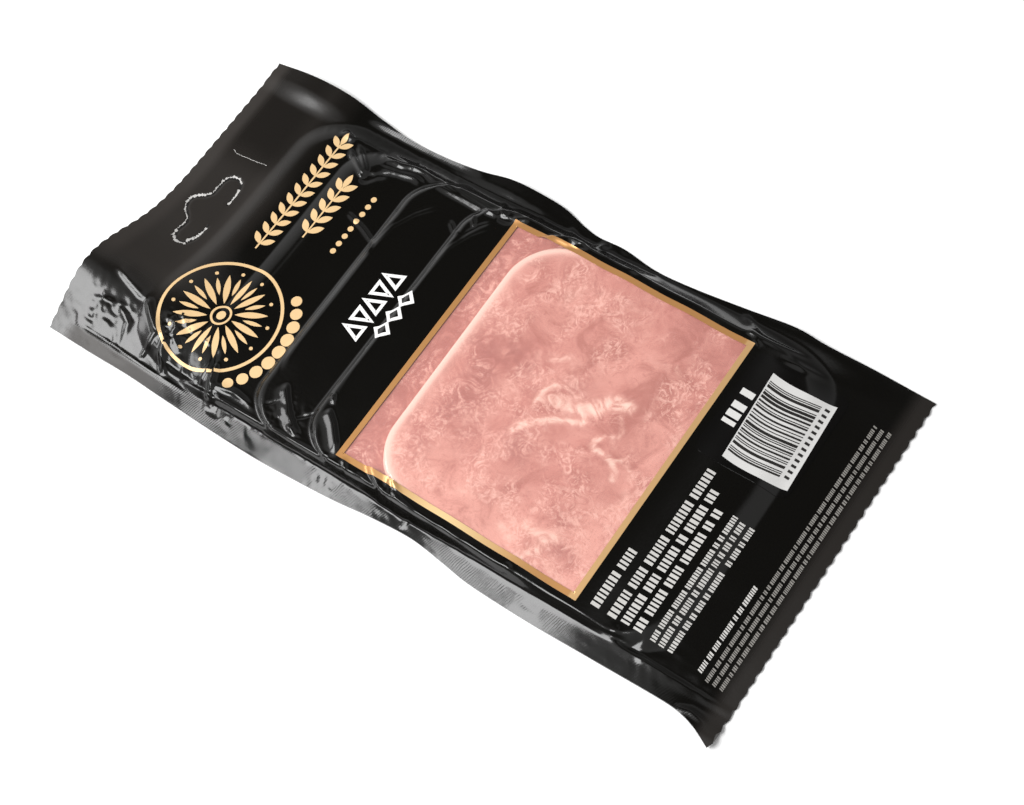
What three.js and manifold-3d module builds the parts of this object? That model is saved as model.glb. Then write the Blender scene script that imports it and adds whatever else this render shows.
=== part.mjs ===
// A flat pack of sliced pizza ham, lying on its back. Two webs of film are sealed together all round,
// five square slices lie shingled between them, the front web has a clear window over the top slices,
// and a label is stuck beside the window. The hanger end is curled up, as a used pack's is.
// Millimetres: X runs from the hanger end to the other end, Y from the near long edge to the far one, Z up.
import * as THREE from "three";
import { mergeVertices } from "three/addons/utils/BufferGeometryUtils.js";
import Module from "manifold-3d";

// Driving dimensions of the film pouch
const hangerEndX = -138.5;
const plainEndX = 135;
const webThickness = 0.35; // each web, thicker than real film so that it stays a sound solid
const clearance = 0.3; // between any two pieces that touch
const floorClearance = 0.66; // above the back web, where the pieces bend up with the curled end
const nearSealY = -55.5; // the inner edge of the sealed flange on the near side
const farSealY = 61;
const scallopPitch = 4.4; // the knife that parted the packs leaves scalloped ends
const scallopDepth = 0.9;

// Driving dimensions of the ham
const sliceCount = 5;
const sliceSide = 104;
const sliceCorner = 21;
const sliceThickness = 1.8;
const slicePitch = 24.2; // from one slice's hanger-side edge to the next one's
const firstSliceX = -102; // hanger-side edge of the lowest slice
const sliceMidY = 1.5;
const sliceTurns = [-0.8, 0.4, 0.5, 0, 0.5]; // degrees, as each slice was laid
const settleLength = 20; // over which a slice sinks past the end of the slice below it

// Film drawn down beside the slices
const edgeEase = 1.6; // the film keeps a slice's height this far past its edge
const drapeCorner = 12; // the film's bend is squarer in plan than the slice's own corner
const endDrape = 9.5; // reach of the slope at a slice's short sides
const stepReach = 1.8; // the part of that slope that shows between two slices
const sideDrape = 6.5; // reach of the slope at the pack's long sides
const drapePower = 1.5; // above 1, so the slope is steep at the slice and flat at its foot

// The window and the label
const window_ = { left: -17, right: 76, near: -49, far: 52.5 };
const label = { left: 79.5, right: 112.5, near: 12, far: 51.5, corner: 3, thickness: 0.25 };

// Hanger slot: a bar with a round bump towards the end, whose flap is still held by a bridge.
// The bump's midX counts from the bar's middle, and trim is the angle it loses at each side.
const slot = { midX: -120.9, midY: 4.4, length: 30.6, width: 6.8, cut: 0.7, bridge: 9 };
const slotBump = { radius: 5, midX: -3.9, trim: 0.5 };
const arcSteps = 8;

// Outline of the long edges: stations of [x, y], joined by a smooth curve. The seals are drawn in
// beside the slices, and the corners keep the width of the flat web.
const farEdge = [
  [-141, 67.6],
  [-126, 68.9],
  [-110, 69.6],
  [-100, 69.0],
  [-88, 66.8],
  [-76, 65.2],
  [-60, 64.9],
  [-46, 65.5],
  [-32, 67.7],
  [-20, 68.1],
  [-9, 67.6],
  [1, 65.0],
  [8, 63.8],
  [18, 64.0],
  [32, 62.0],
  [46, 62.3],
  [66, 63.9],
  [84, 65.4],
  [96, 64.6],
  [114, 64.5],
  [137, 63.5],
];
const nearEdge = [
  [-141, -62.4],
  [-90, -62.1],
  [-50, -62.5],
  [-30, -61.8],
  [-12, -61.0],
  [2, -59.5],
  [18, -58.6],
  [32, -60.0],
  [44, -61.2],
  [66, -61.6],
  [90, -61.1],
  [114, -60.6],
  [122, -61.2],
  [128, -63.0],
  [133, -65.3],
  [137, -66.5],
];

// Rise of the film off the table
const curl = { startX: -66, endLift: 4.3, bumpLift: 13, bumpY: -36, bumpReach: 24, power: 1.3 };
const farWaves = [
  { x: -120, reach: 16, lift: 2.2 },
  { x: -30, reach: 20, lift: 2.6 },
  { x: 88, reach: 22, lift: 1.2 },
];
const nearWaves = [
  { x: -60, reach: 30, lift: 1.4 },
  { x: 60, reach: 24, lift: 1.1 },
  { x: 134, reach: 14, lift: 1.6 },
];

const colours = {
  blackFilm: new THREE.MeshStandardMaterial({ color: 0x14120f, roughness: 0.25, metalness: 0 }),
  clearFilm: new THREE.MeshStandardMaterial({
    color: 0xf2ece6,
    roughness: 0.1,
    metalness: 0,
    transparent: true,
    opacity: 0.3,
  }),
  ham: new THREE.MeshStandardMaterial({ color: 0xdd9488, roughness: 0.45, metalness: 0 }),
  label: new THREE.MeshStandardMaterial({ color: 0x0c0b0a, roughness: 0.2, metalness: 0 }),
};

function smooth(u) {
  const v = THREE.MathUtils.clamp(u, 0, 1);
  return v * v * (3 - 2 * v);
}

function bell(x, wave) {
  return wave.lift * Math.exp(-(((x - wave.x) / wave.reach) ** 2));
}

// A smooth curve through an edge's stations, as a function of x
function curveThrough(edge) {
  const curve = new THREE.SplineCurve(edge.map(([x, y]) => new THREE.Vector2(x, y)));
  const points = curve.getPoints(edge.length * 12);
  return (x) => {
    const found = points.findIndex((point) => point.x >= x);
    const after = Math.max(1, found);
    const [a, b] = [points[after - 1], points[after]];
    return THREE.MathUtils.lerp(a.y, b.y, (x - a.x) / (b.x - a.x));
  };
}

const farEdgeAt = curveThrough(farEdge);
const nearEdgeAt = curveThrough(nearEdge);

// Height of the back web's underside above the table
function lift(x, y) {
  const along = Math.max(0, (curl.startX - x) / (curl.startX - hangerEndX));
  const edge = curl.endLift + curl.bumpLift * Math.exp(-(((y - curl.bumpY) / curl.bumpReach) ** 2));
  const farRise = farWaves.reduce((sum, wave) => sum + bell(x, wave), 0);
  const nearRise = nearWaves.reduce((sum, wave) => sum + bell(x, wave), 0);
  return (
    edge * along ** curl.power +
    farRise * smooth((y - farSealY + 6) / 9) +
    nearRise * smooth((nearSealY - y) / 8)
  );
}

// Every slice's own frame: its middle and its turn
const slices = Array.from({ length: sliceCount }, (_, k) => ({
  name: `ham_slice_${k + 1}`,
  midX: firstSliceX + slicePitch * k + sliceSide / 2,
  turn: THREE.MathUtils.degToRad(sliceTurns[k]),
}));

function toSlice(slice, x, y) {
  const [dx, dy] = [x - slice.midX, y - sliceMidY];
  const [c, s] = [Math.cos(slice.turn), Math.sin(slice.turn)];
  return [dx * c + dy * s, dy * c - dx * s];
}

function fromSlice(slice, u, v) {
  const [c, s] = [Math.cos(slice.turn), Math.sin(slice.turn)];
  return [slice.midX + u * c - v * s, sliceMidY + u * s + v * c];
}

// Height of the inside floor, where the lowest slice or the front web lies on the back web
function floor(x, y) {
  return lift(x, y) + webThickness + floorClearance;
}

// Underside of slice k: it lies on those before it and sinks past their ends
function sliceBottom(k, x, y) {
  const risen = slices.slice(0, k).reduce((sum, below) => {
    const past = toSlice(below, x, y)[0] - sliceSide / 2;
    return sum + (sliceThickness + clearance) * (1 - smooth(past / settleLength));
  }, 0);
  return floor(x, y) + risen;
}

// Distance from a slice's rounded outline, and how far the film's slope reaches on that side
function outside(slice, x, y) {
  const [u, v] = toSlice(slice, x, y);
  const straight = sliceSide / 2 - drapeCorner;
  const [a, b] = [Math.max(0, Math.abs(u) - straight), Math.max(0, Math.abs(v) - straight)];
  const far = Math.hypot(a, b);
  const reach = far > 0 ? (endDrape * a * a + sideDrape * b * b) / (far * far) : endDrape;
  return { distance: far - drapeCorner - edgeEase, reach };
}

// Underside of the front web: over each slice, down its sides, and on the floor elsewhere
function frontBottom(x, y) {
  const base = floor(x, y);
  return slices.reduce((highest, slice, k) => {
    const rise = sliceBottom(k, x, y) + sliceThickness + clearance - base;
    const { distance, reach } = outside(slice, x, y);
    const share = THREE.MathUtils.clamp(1 - distance / reach, 0, 1) ** drapePower;
    return Math.max(highest, base + rise * share);
  }, base);
}

// Numbers from first to last by way of the stops between, with no step over the longest one
function stations(stops, longest) {
  return stops.slice(0, -1).flatMap((from, i) => {
    const parts = Math.ceil((stops[i + 1] - from) / longest);
    const step = (stops[i + 1] - from) / parts;
    return Array.from({ length: parts }, (_, n) => from + n * step);
  }).concat(stops.at(-1));
}

// A closed slab over a grid of cells. place(i, j) gives [x, y, bottom, top], and keep(i, j) says
// which cells are there. Walls close every side that has no neighbour.
function slab(columns, rows, place, keep = () => true) {
  const positions = [];
  const corners = [];
  for (let i = 0; i <= columns; i += 1) {
    corners.push([]);
    for (let j = 0; j <= rows; j += 1) {
      const [x, y, bottom, top] = place(i, j);
      corners[i].push([
        [x, y, bottom],
        [x, y, top],
      ]);
    }
  }
  const quad = (a, b, c, d) => positions.push(...a, ...b, ...c, ...a, ...c, ...d);
  const wall = (a, b) => quad(a[0], b[0], b[1], a[1]);
  const there = (i, j) => i >= 0 && j >= 0 && i < columns && j < rows && keep(i, j);
  for (let i = 0; i < columns; i += 1) {
    for (let j = 0; j < rows; j += 1) {
      if (!there(i, j)) continue;
      const [a, b, c, d] = [
        corners[i][j],
        corners[i + 1][j],
        corners[i + 1][j + 1],
        corners[i][j + 1],
      ];
      quad(a[1], b[1], c[1], d[1]);
      quad(d[0], c[0], b[0], a[0]);
      if (!there(i, j - 1)) wall(a, b);
      if (!there(i + 1, j)) wall(b, c);
      if (!there(i, j + 1)) wall(c, d);
      if (!there(i - 1, j)) wall(d, a);
    }
  }
  const geometry = new THREE.BufferGeometry();
  geometry.setAttribute("position", new THREE.Float32BufferAttribute(positions, 3));
  return mergeVertices(geometry, 1e-4);
}

const wasm = await Module();
wasm.setup();

function toSolid(geometry) {
  const bare = geometry.clone();
  bare.deleteAttribute("normal");
  bare.deleteAttribute("uv");
  const merged = mergeVertices(bare, 1e-4);
  return new wasm.Manifold(
    new wasm.Mesh({
      numProp: 3,
      vertProperties: merged.attributes.position.array,
      triVerts: new Uint32Array(merged.index.array),
    }),
  );
}

function toGeometry(solid) {
  const mesh = solid.getMesh();
  const geometry = new THREE.BufferGeometry();
  geometry.setAttribute("position", new THREE.BufferAttribute(mesh.vertProperties, 3));
  geometry.setIndex(new THREE.BufferAttribute(mesh.triVerts, 1));
  geometry.computeVertexNormals();
  return geometry;
}

// An upright cutter as tall as the pack, from an outline in plan
const cutterFrom = -20;
const cutterTo = 40;
function cutter(outline) {
  const shape = new THREE.Shape(outline);
  const depth = cutterTo - cutterFrom;
  const geometry = new THREE.ExtrudeGeometry(shape, { depth, bevelEnabled: false });
  geometry.translate(0, 0, cutterFrom);
  return toSolid(geometry);
}

// What the scalloped knife takes off one end. side is -1 at the hanger end and 1 at the other.
const knifeReachY = 72; // past the widest part of the web
const knifeDepth = 8; // past the end of the web's grid
function endCutter(side) {
  const endX = side < 0 ? hangerEndX : plainEndX;
  const outline = [];
  const scallops = Math.ceil((2 * knifeReachY) / scallopPitch);
  for (let n = 0; n <= 2 * scallops; n += 1) {
    const bite = n % 2 ? 0 : scallopDepth;
    const y = (n / 2) * scallopPitch - knifeReachY;
    outline.push(new THREE.Vector2(endX - side * bite, y));
  }
  const beyond = endX + side * knifeDepth;
  outline.push(new THREE.Vector2(beyond, outline.at(-1).y));
  outline.push(new THREE.Vector2(beyond, -knifeReachY));
  return cutter(outline);
}

// Middle line of the hanger slot's cut, from one end of the bridge round to the other
function slotLine() {
  const half = slot.width / 2;
  const endY = slot.length / 2 - half;
  const points = [[half, slot.bridge / 2]];
  const arc = (midX, midY, radius, from, to) => {
    for (let n = 0; n <= arcSteps; n += 1) {
      const angle = from + ((to - from) * n) / arcSteps;
      points.push([midX + radius * Math.cos(angle), midY + radius * Math.sin(angle)]);
    }
  };
  arc(0, endY, half, 0, Math.PI);
  arc(slotBump.midX, 0, slotBump.radius, Math.PI / 2 + slotBump.trim, 1.5 * Math.PI - slotBump.trim);
  arc(0, -endY, half, -Math.PI, 0);
  points.push([half, -slot.bridge / 2]);
  return points.map(([x, y]) => new THREE.Vector2(slot.midX + x, slot.midY + y));
}

// The cut itself: a narrow band along the slot's line
function slotCutter() {
  const line = slotLine();
  const sides = [1, -1].map((sign) =>
    line.map((point, n) => {
      const ahead = line[Math.min(n + 1, line.length - 1)];
      const behind = line[Math.max(n - 1, 0)];
      const along = ahead.clone().sub(behind).normalize();
      const across = new THREE.Vector2(-along.y, along.x);
      return point.clone().addScaledVector(across, (sign * slot.cut) / 2);
    }),
  );
  return cutter([...sides[0], ...sides[1].reverse()]);
}

// Where the film starts down from a slice's hanger side, and where it meets the slice below
const crestOf = (slice) => slice.midX - sliceSide / 2 - edgeEase;
const footOf = (slice) => crestOf(slice) - stepReach;
const lastEnd = slices.at(-1).midX + sliceSide / 2 + edgeEase;
const columnStops = [
  hangerEndX,
  crestOf(slices[0]) - endDrape,
  ...slices.slice(0, 4).flatMap((slice) => [footOf(slice), crestOf(slice)]),
  window_.left,
  footOf(slices[4]),
  crestOf(slices[4]),
  window_.right,
  lastEnd,
  lastEnd + endDrape,
  plainEndX,
];
const rowStops = [
  nearSealY,
  sliceMidY - sliceSide / 2 - edgeEase,
  window_.near,
  window_.far,
  sliceMidY + sliceSide / 2 + edgeEase,
  farSealY,
];
const columnX = stations(columnStops, 5.4);
const rowY = stations(rowStops, 7.5);
const backColumn = 9; // longest step of the back web
const sliceRows = 8; // and twice as many in the lowest one, which bends up with the curled end
const sliceColumn = 7.2; // longest step along a slice
const cornerStop = 11; // a stop within a slice's rounded corner, from where the corner starts
const labelRows = 8;

// A row's y: the stations between the seals are straight, and the outermost follow the edges
function webRow(rows, x, j) {
  if (j === 0) return nearEdgeAt(x);
  if (j === rows.length + 1) return farEdgeAt(x);
  return rows[j - 1];
}

function inWindow(x, y) {
  const inX = x > window_.left && x < window_.right;
  return inX && y > window_.near && y < window_.far;
}

function frontWeb() {
  const middle = (i, j) => [
    (columnX[i] + columnX[i + 1]) / 2,
    (webRow(rowY, columnX[i], j) + webRow(rowY, columnX[i], j + 1)) / 2,
  ];
  const place = (i, j) => {
    const x = columnX[i];
    const y = webRow(rowY, x, j);
    const bottom = frontBottom(x, y);
    return [x, y, bottom, bottom + webThickness];
  };
  return slab(columnX.length - 1, rowY.length + 1, place, (i, j) => !inWindow(...middle(i, j)));
}

function backWeb() {
  const columns = stations([hangerEndX, curl.startX, plainEndX], backColumn);
  const place = (i, j) => {
    const y = webRow(rowY, columns[i], j);
    const bottom = lift(columns[i], y);
    return [columns[i], y, bottom, bottom + webThickness];
  };
  return slab(columns.length - 1, rowY.length + 1, place);
}

function windowPane() {
  const within = (values, from, to) => values.filter((value) => value >= from && value <= to);
  const xs = within(columnX, window_.left, window_.right);
  const ys = within(rowY, window_.near, window_.far);
  const place = (i, j) => {
    const x = THREE.MathUtils.clamp(xs[i], window_.left + clearance, window_.right - clearance);
    const y = THREE.MathUtils.clamp(ys[j], window_.near + clearance, window_.far - clearance);
    const bottom = frontBottom(x, y);
    return [x, y, bottom, bottom + webThickness];
  };
  return slab(xs.length - 1, ys.length - 1, place);
}

function hamSlice(k) {
  const half = sliceSide / 2;
  const straight = half - sliceCorner;
  const inCorner = straight + cornerStop;
  const stops = [-half, -inCorner, -straight, straight, inCorner, half];
  const across = stations(stops, sliceColumn);
  const rows = k === 0 ? 2 * sliceRows : sliceRows;
  const place = (i, j) => {
    const u = across[i];
    const intoCorner = Math.max(0, Math.abs(u) - straight);
    const reach = straight + Math.sqrt(Math.max(0, sliceCorner ** 2 - intoCorner ** 2));
    const [x, y] = fromSlice(slices[k], u, reach * ((2 * j) / rows - 1));
    const bottom = sliceBottom(k, x, y);
    return [x, y, bottom, bottom + sliceThickness];
  };
  return slab(across.length - 1, rows, place);
}

function stuckLabel() {
  const [cornerFrom, cornerTo] = [label.left + label.corner, label.right - label.corner];
  const between = columnX.filter((x) => x > cornerFrom && x < cornerTo);
  const xs = [label.left, cornerFrom, ...between, cornerTo, label.right];
  const place = (i, j) => {
    const x = xs[i];
    const intoCorner = Math.max(0, cornerFrom - x, x - cornerTo);
    const inset = label.corner - Math.sqrt(label.corner ** 2 - intoCorner ** 2);
    const y = THREE.MathUtils.lerp(label.near + inset, label.far - inset, j / labelRows);
    const bottom = frontBottom(x, y) + webThickness + clearance;
    return [x, y, bottom, bottom + label.thickness];
  };
  return slab(xs.length - 1, labelRows, place);
}

function add(group, name, geometry, material) {
  const mesh = new THREE.Mesh(geometry, material);
  mesh.name = name;
  group.add(mesh);
}

const pack = new THREE.Group();
const cutters = [endCutter(-1), endCutter(1), slotCutter()];
const trim = (geometry) => {
  const cut = cutters.reduce((solid, tool) => solid.subtract(tool), toSolid(geometry));
  return toGeometry(cut);
};
add(pack, "film_back", trim(backWeb()), colours.blackFilm);
add(pack, "film_front", trim(frontWeb()), colours.blackFilm);
add(pack, "window_film", windowPane(), colours.clearFilm);
slices.forEach((slice, k) => add(pack, slice.name, hamSlice(k), colours.ham));
add(pack, "label", stuckLabel(), colours.label);

// The part's origin is the middle of its footprint, on the table
const box = new THREE.Box3().setFromObject(pack);
const middle = box.getCenter(new THREE.Vector3());
pack.position.set(-middle.x, -middle.y, -box.min.z);

const group = new THREE.Group();
group.add(pack);

export default group;
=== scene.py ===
import bpy
import numpy as np
from bpy.props import FloatProperty, FloatVectorProperty, PointerProperty
from mathutils import Matrix, Vector


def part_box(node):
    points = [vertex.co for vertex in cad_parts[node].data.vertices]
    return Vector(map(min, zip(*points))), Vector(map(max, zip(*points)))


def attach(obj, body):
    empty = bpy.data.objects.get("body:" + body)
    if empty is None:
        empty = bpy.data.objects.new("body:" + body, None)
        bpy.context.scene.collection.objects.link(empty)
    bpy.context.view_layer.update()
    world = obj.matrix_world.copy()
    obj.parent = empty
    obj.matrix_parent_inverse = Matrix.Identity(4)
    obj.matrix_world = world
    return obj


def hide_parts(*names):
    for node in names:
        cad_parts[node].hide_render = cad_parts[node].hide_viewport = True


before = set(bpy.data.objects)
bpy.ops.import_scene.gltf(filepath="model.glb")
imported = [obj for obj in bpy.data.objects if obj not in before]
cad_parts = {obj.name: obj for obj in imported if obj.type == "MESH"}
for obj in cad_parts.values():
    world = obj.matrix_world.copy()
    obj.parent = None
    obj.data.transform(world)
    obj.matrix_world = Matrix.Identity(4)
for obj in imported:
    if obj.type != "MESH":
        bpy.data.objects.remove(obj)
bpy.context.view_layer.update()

bl_info = {
    "name": "Pack of pizza ham",
    "version": (1, 0, 0),
    "blender": (4, 5, 0),
    "location": "View3D > Sidebar > Ham pack",
    "description": "Builds a flat vacuum pack of sliced ham in black film with a clear window",
    "category": "Add Mesh",
}

MM = 0.001

# ---------------------------------------------------------------- the pouch's form, in millimetres
# X runs from the hanger end to the plain end, Y from the near long edge to the far one, Z up.
HANGER_END_X = -138.5
PLAIN_END_X = 135.0
NEAR_SEAL_Y = -55.5
FAR_SEAL_Y = 61.0
SCALLOP_PITCH = 4.4
SCALLOP_DEPTH = 0.9
HANGER_SCALLOP_DEPTH = 0.45
SCALLOP_RUN = 4.0  # the grid takes the scallops up over this length

WEB = 0.35  # each web
WEB_GAP = 0.05  # between the two webs in the seals
SLICE_SIDE = 104.0
SLICE_CORNER = 21.0
SLICE_THICKNESS = 2.0
SLICE_GAP = 0.1
SLICE_PITCH = 24.2
FIRST_SLICE_X = -102.0
SLICE_MID_Y = 1.5
SLICE_TURNS = np.radians([-0.8, 0.4, 0.5, 0.0, 0.5])
SLICE_COUNT = len(SLICE_TURNS)
TOP_SLICE_LEAN = 2.0  # the top slice's cut end leans out this far
SLICE_MID_X = FIRST_SLICE_X + SLICE_PITCH * np.arange(SLICE_COUNT) + SLICE_SIDE / 2
SETTLE_LENGTH = 20.0

EDGE_EASE = 1.6
DRAPE_CORNER = 12.0
END_DRAPES = (9.5, 17.0, 9.5, 9.5, 9.5)  # each slice's, at its ends
SIDE_DRAPE = 6.0
NEAR_DRAPE = 2.0
DRAPE_POWER = 1.5

WINDOW = {"left": -17.0, "right": 76.0, "near": -49.0, "far": 52.5}
PANE_CLEARANCE = 0.3
LABEL = {"left": 79.5, "right": 112.5, "near": 12.0, "far": 51.5, "corner": 3.0}

FAR_EDGE = [
    (-141, 67.6), (-126, 68.9), (-110, 69.6), (-100, 69.0), (-88, 66.8), (-76, 65.2),
    (-60, 64.9), (-46, 65.5), (-32, 67.7), (-20, 68.1), (-9, 67.6), (1, 65.0), (8, 63.8),
    (18, 64.0), (32, 62.0), (46, 62.3), (66, 63.9), (84, 65.4), (96, 64.6), (114, 64.5),
    (137, 63.5),
]
NEAR_EDGE = [
    (-141, -62.4), (-120, -62.0), (-104, -61.5), (-88, -61.8), (-50, -62.5), (-30, -61.8), (-12, -60.7), (2, -59.2),
    (18, -58.3), (32, -59.8), (44, -61.2), (66, -61.6), (90, -61.1), (114, -60.6),
    (122, -61.2), (128, -63.0), (133, -65.3), (137, -66.5),
]
CURL = {"start": -66.0, "end": 4.3, "bump": 13.0, "bump_y": -36.0, "reach": 24.0, "power": 1.3}
FAR_WAVES = [(-120, 16, 2.2), (-30, 20, 2.6), (88, 22, 1.2)]
NEAR_WAVES = [(-60, 30, 0.4), (60, 24, 0.3), (134, 14, 1.6)]
# The near flange droops from the stack to its edge: its height at its inner side along the pouch
NEAR_DROOP = [
    (-141, 0.0), (-124, 0.1), (-104, 0.0), (-88, 0.3), (-76, 1.3), (-62, 2.1), (-48, 1.7),
    (-34, 2.7), (-20, 2.4), (-7, 2.5), (3, 1.2), (14, 0.8), (24, 1.2), (33, 2.3), (46, 2.6),
    (62, 2.5), (76, 2.1), (88, 1.1), (104, 0.9), (120, 0.4), (137, 0.0),
]
DROOP_Y = -53.4
DROOP_RUN = 8.8
# A narrow strip of the far flange turns up
FAR_LIP = {"from": -98.0, "to": -38.0, "start_y": 62.8, "run": 3.2, "height": 1.0}

# The part stands on the middle of its footprint, so the pane's corner gives the shift to it
pane_low = np.array(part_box("window_film")[0]) / MM
SHIFT = np.array([
    pane_low[0] - WINDOW["left"] - PANE_CLEARANCE,
    pane_low[1] - WINDOW["near"] - PANE_CLEARANCE,
    0.0,
])


def smooth(u):
    """Smooth step: three times the square less twice the cube, with u held between 0 and 1."""
    v = np.clip(u, 0, 1)
    return v * v * (3 - 2 * v)


def bell(distance, reach):
    """Bell curve: e to the minus square of distance over reach."""
    return np.exp(-((distance / reach) ** 2))


def curve_through(stations):
    """A Catmull-Rom curve through the stations, sampled twelve times a station, as y over x."""
    points = np.array(stations, float)
    last = len(points) - 1
    t = np.linspace(0, last, len(points) * 12 + 1)
    k = np.floor(t).astype(int)
    w = (t - k)[:, None]
    before, here, after, beyond = (points[np.clip(k + n, 0, last)] for n in (-1, 0, 1, 2))
    v0, v1 = (after - before) / 2, (beyond - here) / 2
    cubic = (2 * here - 2 * after + v0 + v1) * w**3
    square = (-3 * here + 3 * after - 2 * v0 - v1) * w**2
    line = cubic + square + v0 * w + here
    return lambda x: np.interp(x, line[:, 0], line[:, 1])


far_edge_at = curve_through(FAR_EDGE)
near_edge_at = curve_through(NEAR_EDGE)
near_droop_at = curve_through(NEAR_DROOP)


def lift(x, y):
    """Height of the back web above the table: the curled end rises as a power of the way along it,
    with a bell-shaped bump across it, waves rise at the two long seals, the near one droops in a
    straight line from the stack, and a strip of the far one turns up."""
    along = np.maximum(0, (CURL["start"] - x) / (CURL["start"] - HANGER_END_X))
    edge = CURL["end"] + CURL["bump"] * bell(y - CURL["bump_y"], CURL["reach"])
    far = sum(height * bell(x - at, reach) for at, reach, height in FAR_WAVES)
    near = sum(height * bell(x - at, reach) for at, reach, height in NEAR_WAVES)
    far_share = smooth((y - FAR_SEAL_Y + 6) / 9)
    near_share = smooth((NEAR_SEAL_Y - y) / 8)
    outside = np.clip(1 - (DROOP_Y - y) / DROOP_RUN, 0, 1)
    profile = np.where(y < DROOP_Y, outside, smooth(1 - (y - DROOP_Y) / 1.6))
    lip = smooth((x - FAR_LIP["from"]) / 14) * smooth((FAR_LIP["to"] - x) / 14)
    lip = lip * FAR_LIP["height"] * smooth((y - FAR_LIP["start_y"]) / FAR_LIP["run"])
    waves = far * far_share + near * near_share
    return edge * along ** CURL["power"] + waves + near_droop_at(x) * profile + lip


def to_slice(k, x, y):
    """A point in slice k's own frame: moved to its middle and turned back by its turn."""
    dx, dy = x - SLICE_MID_X[k], y - SLICE_MID_Y
    c, s = np.cos(SLICE_TURNS[k]), np.sin(SLICE_TURNS[k])
    return dx * c + dy * s, dy * c - dx * s


def from_slice(k, u, v):
    """The point in the pouch's frame of u, v in slice k's own."""
    c, s = np.cos(SLICE_TURNS[k]), np.sin(SLICE_TURNS[k])
    return SLICE_MID_X[k] + u * c - v * s, SLICE_MID_Y + u * s + v * c


def floor_height(x, y):
    """Where the lowest slice or the front web lies on the back web."""
    return lift(x, y) + WEB + WEB_GAP


def slice_bottom(k, x, y):
    """Underside of slice k: the floor plus the slices below it, each sinking smoothly past its end."""
    height = floor_height(x, y)
    for below in range(k):
        past = to_slice(below, x, y)[0] - SLICE_SIDE / 2
        height = height + (SLICE_THICKNESS + SLICE_GAP) * (1 - smooth(past / SETTLE_LENGTH))
    return height


def front_bottom(x, y):
    """Underside of the front web: each slice's top carries on past its rounded outline, then falls
    as a power of the share of the slope that is left, rounded off where it starts at the slices'
    ends, and the highest of them counts."""
    base = floor_height(x, y)
    highest = base
    for k in range(SLICE_COUNT):
        u, v = to_slice(k, x, y)
        straight = SLICE_SIDE / 2 - DRAPE_CORNER
        a, b = np.maximum(0, np.abs(u) - straight), np.maximum(0, np.abs(v) - straight)
        far = np.hypot(a, b)
        side = np.where(v < 0, NEAR_DRAPE, SIDE_DRAPE)
        mixed = (END_DRAPES[k] * a * a + side * b * b) / np.maximum(far * far, 1e-9)
        reach = np.where(far > 0, mixed, END_DRAPES[k])
        left = np.clip(1 - (far - DRAPE_CORNER - EDGE_EASE) / reach, 0, 1)
        end = a * a / np.maximum(far * far, 1e-9)
        share = left**DRAPE_POWER * (1 + DRAPE_POWER * end * (1 - left))
        rise = slice_bottom(k, x, y) + SLICE_THICKNESS + SLICE_GAP - base
        highest = np.maximum(highest, base + rise * share)
    return highest


# ---------------------------------------------------------------- folds and creases of the film


def lattice_noise(x, y, cell, seed):
    """Smooth noise from -1 to 1: random numbers on a lattice of that cell, blended by smooth steps."""
    rng = np.random.default_rng(seed)
    values = rng.uniform(-1, 1, (128, 128))
    u, v = x / cell + 64, y / cell + 64
    i, j = np.floor(u).astype(int), np.floor(v).astype(int)
    fu, fv = smooth(u - i), smooth(v - j)
    i0, i1, j0, j1 = i % 128, (i + 1) % 128, j % 128, (j + 1) % 128
    low = values[i0, j0] * (1 - fu) + values[i1, j0] * fu
    high = values[i0, j1] * (1 - fu) + values[i1, j1] * fu
    return low * (1 - fv) + high * fv


def from_line(points, x, y):
    """Distance from a line through points, its side as a sign, and how far along it from 0 to 1."""
    line = np.array(points, float)
    runs = np.hypot(*(line[1:] - line[:-1]).T)
    starts = np.concatenate([[0], np.cumsum(runs)])
    best = np.full(x.shape, np.inf)
    side = np.zeros(x.shape)
    along = np.zeros(x.shape)
    for a, b, start, run in zip(line[:-1], line[1:], starts, runs):
        d = (b - a) / run
        t = np.clip((x - a[0]) * d[0] + (y - a[1]) * d[1], 0, run)
        dx, dy = x - a[0] - t * d[0], y - a[1] - t * d[1]
        away = np.hypot(dx, dy)
        closer = away < best
        best = np.where(closer, away, best)
        side = np.where(closer, np.sign(d[0] * dy - d[1] * dx), side)
        along = np.where(closer, (start + t) / starts[-1], along)
    return best, side, along


# The hanger slot: two lobes and a bump, cut all round but for a bridge on the plain side
SLOT = [
    (-117.3, 9.5), (-117.3, 17), (-118.4, 19.5), (-121, 20.4), (-123.5, 19.3), (-124.6, 17),
    (-124.6, 11.2), (-126.3, 8.8), (-129.4, 6.8), (-130.2, 4.6), (-129.4, 1.6), (-126.2, -1),
    (-124.5, -3.2), (-124.6, -8), (-123.4, -10.5), (-120.9, -11.4), (-118.5, -10.4),
    (-117.3, -8), (-117.3, 0),
]

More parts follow.
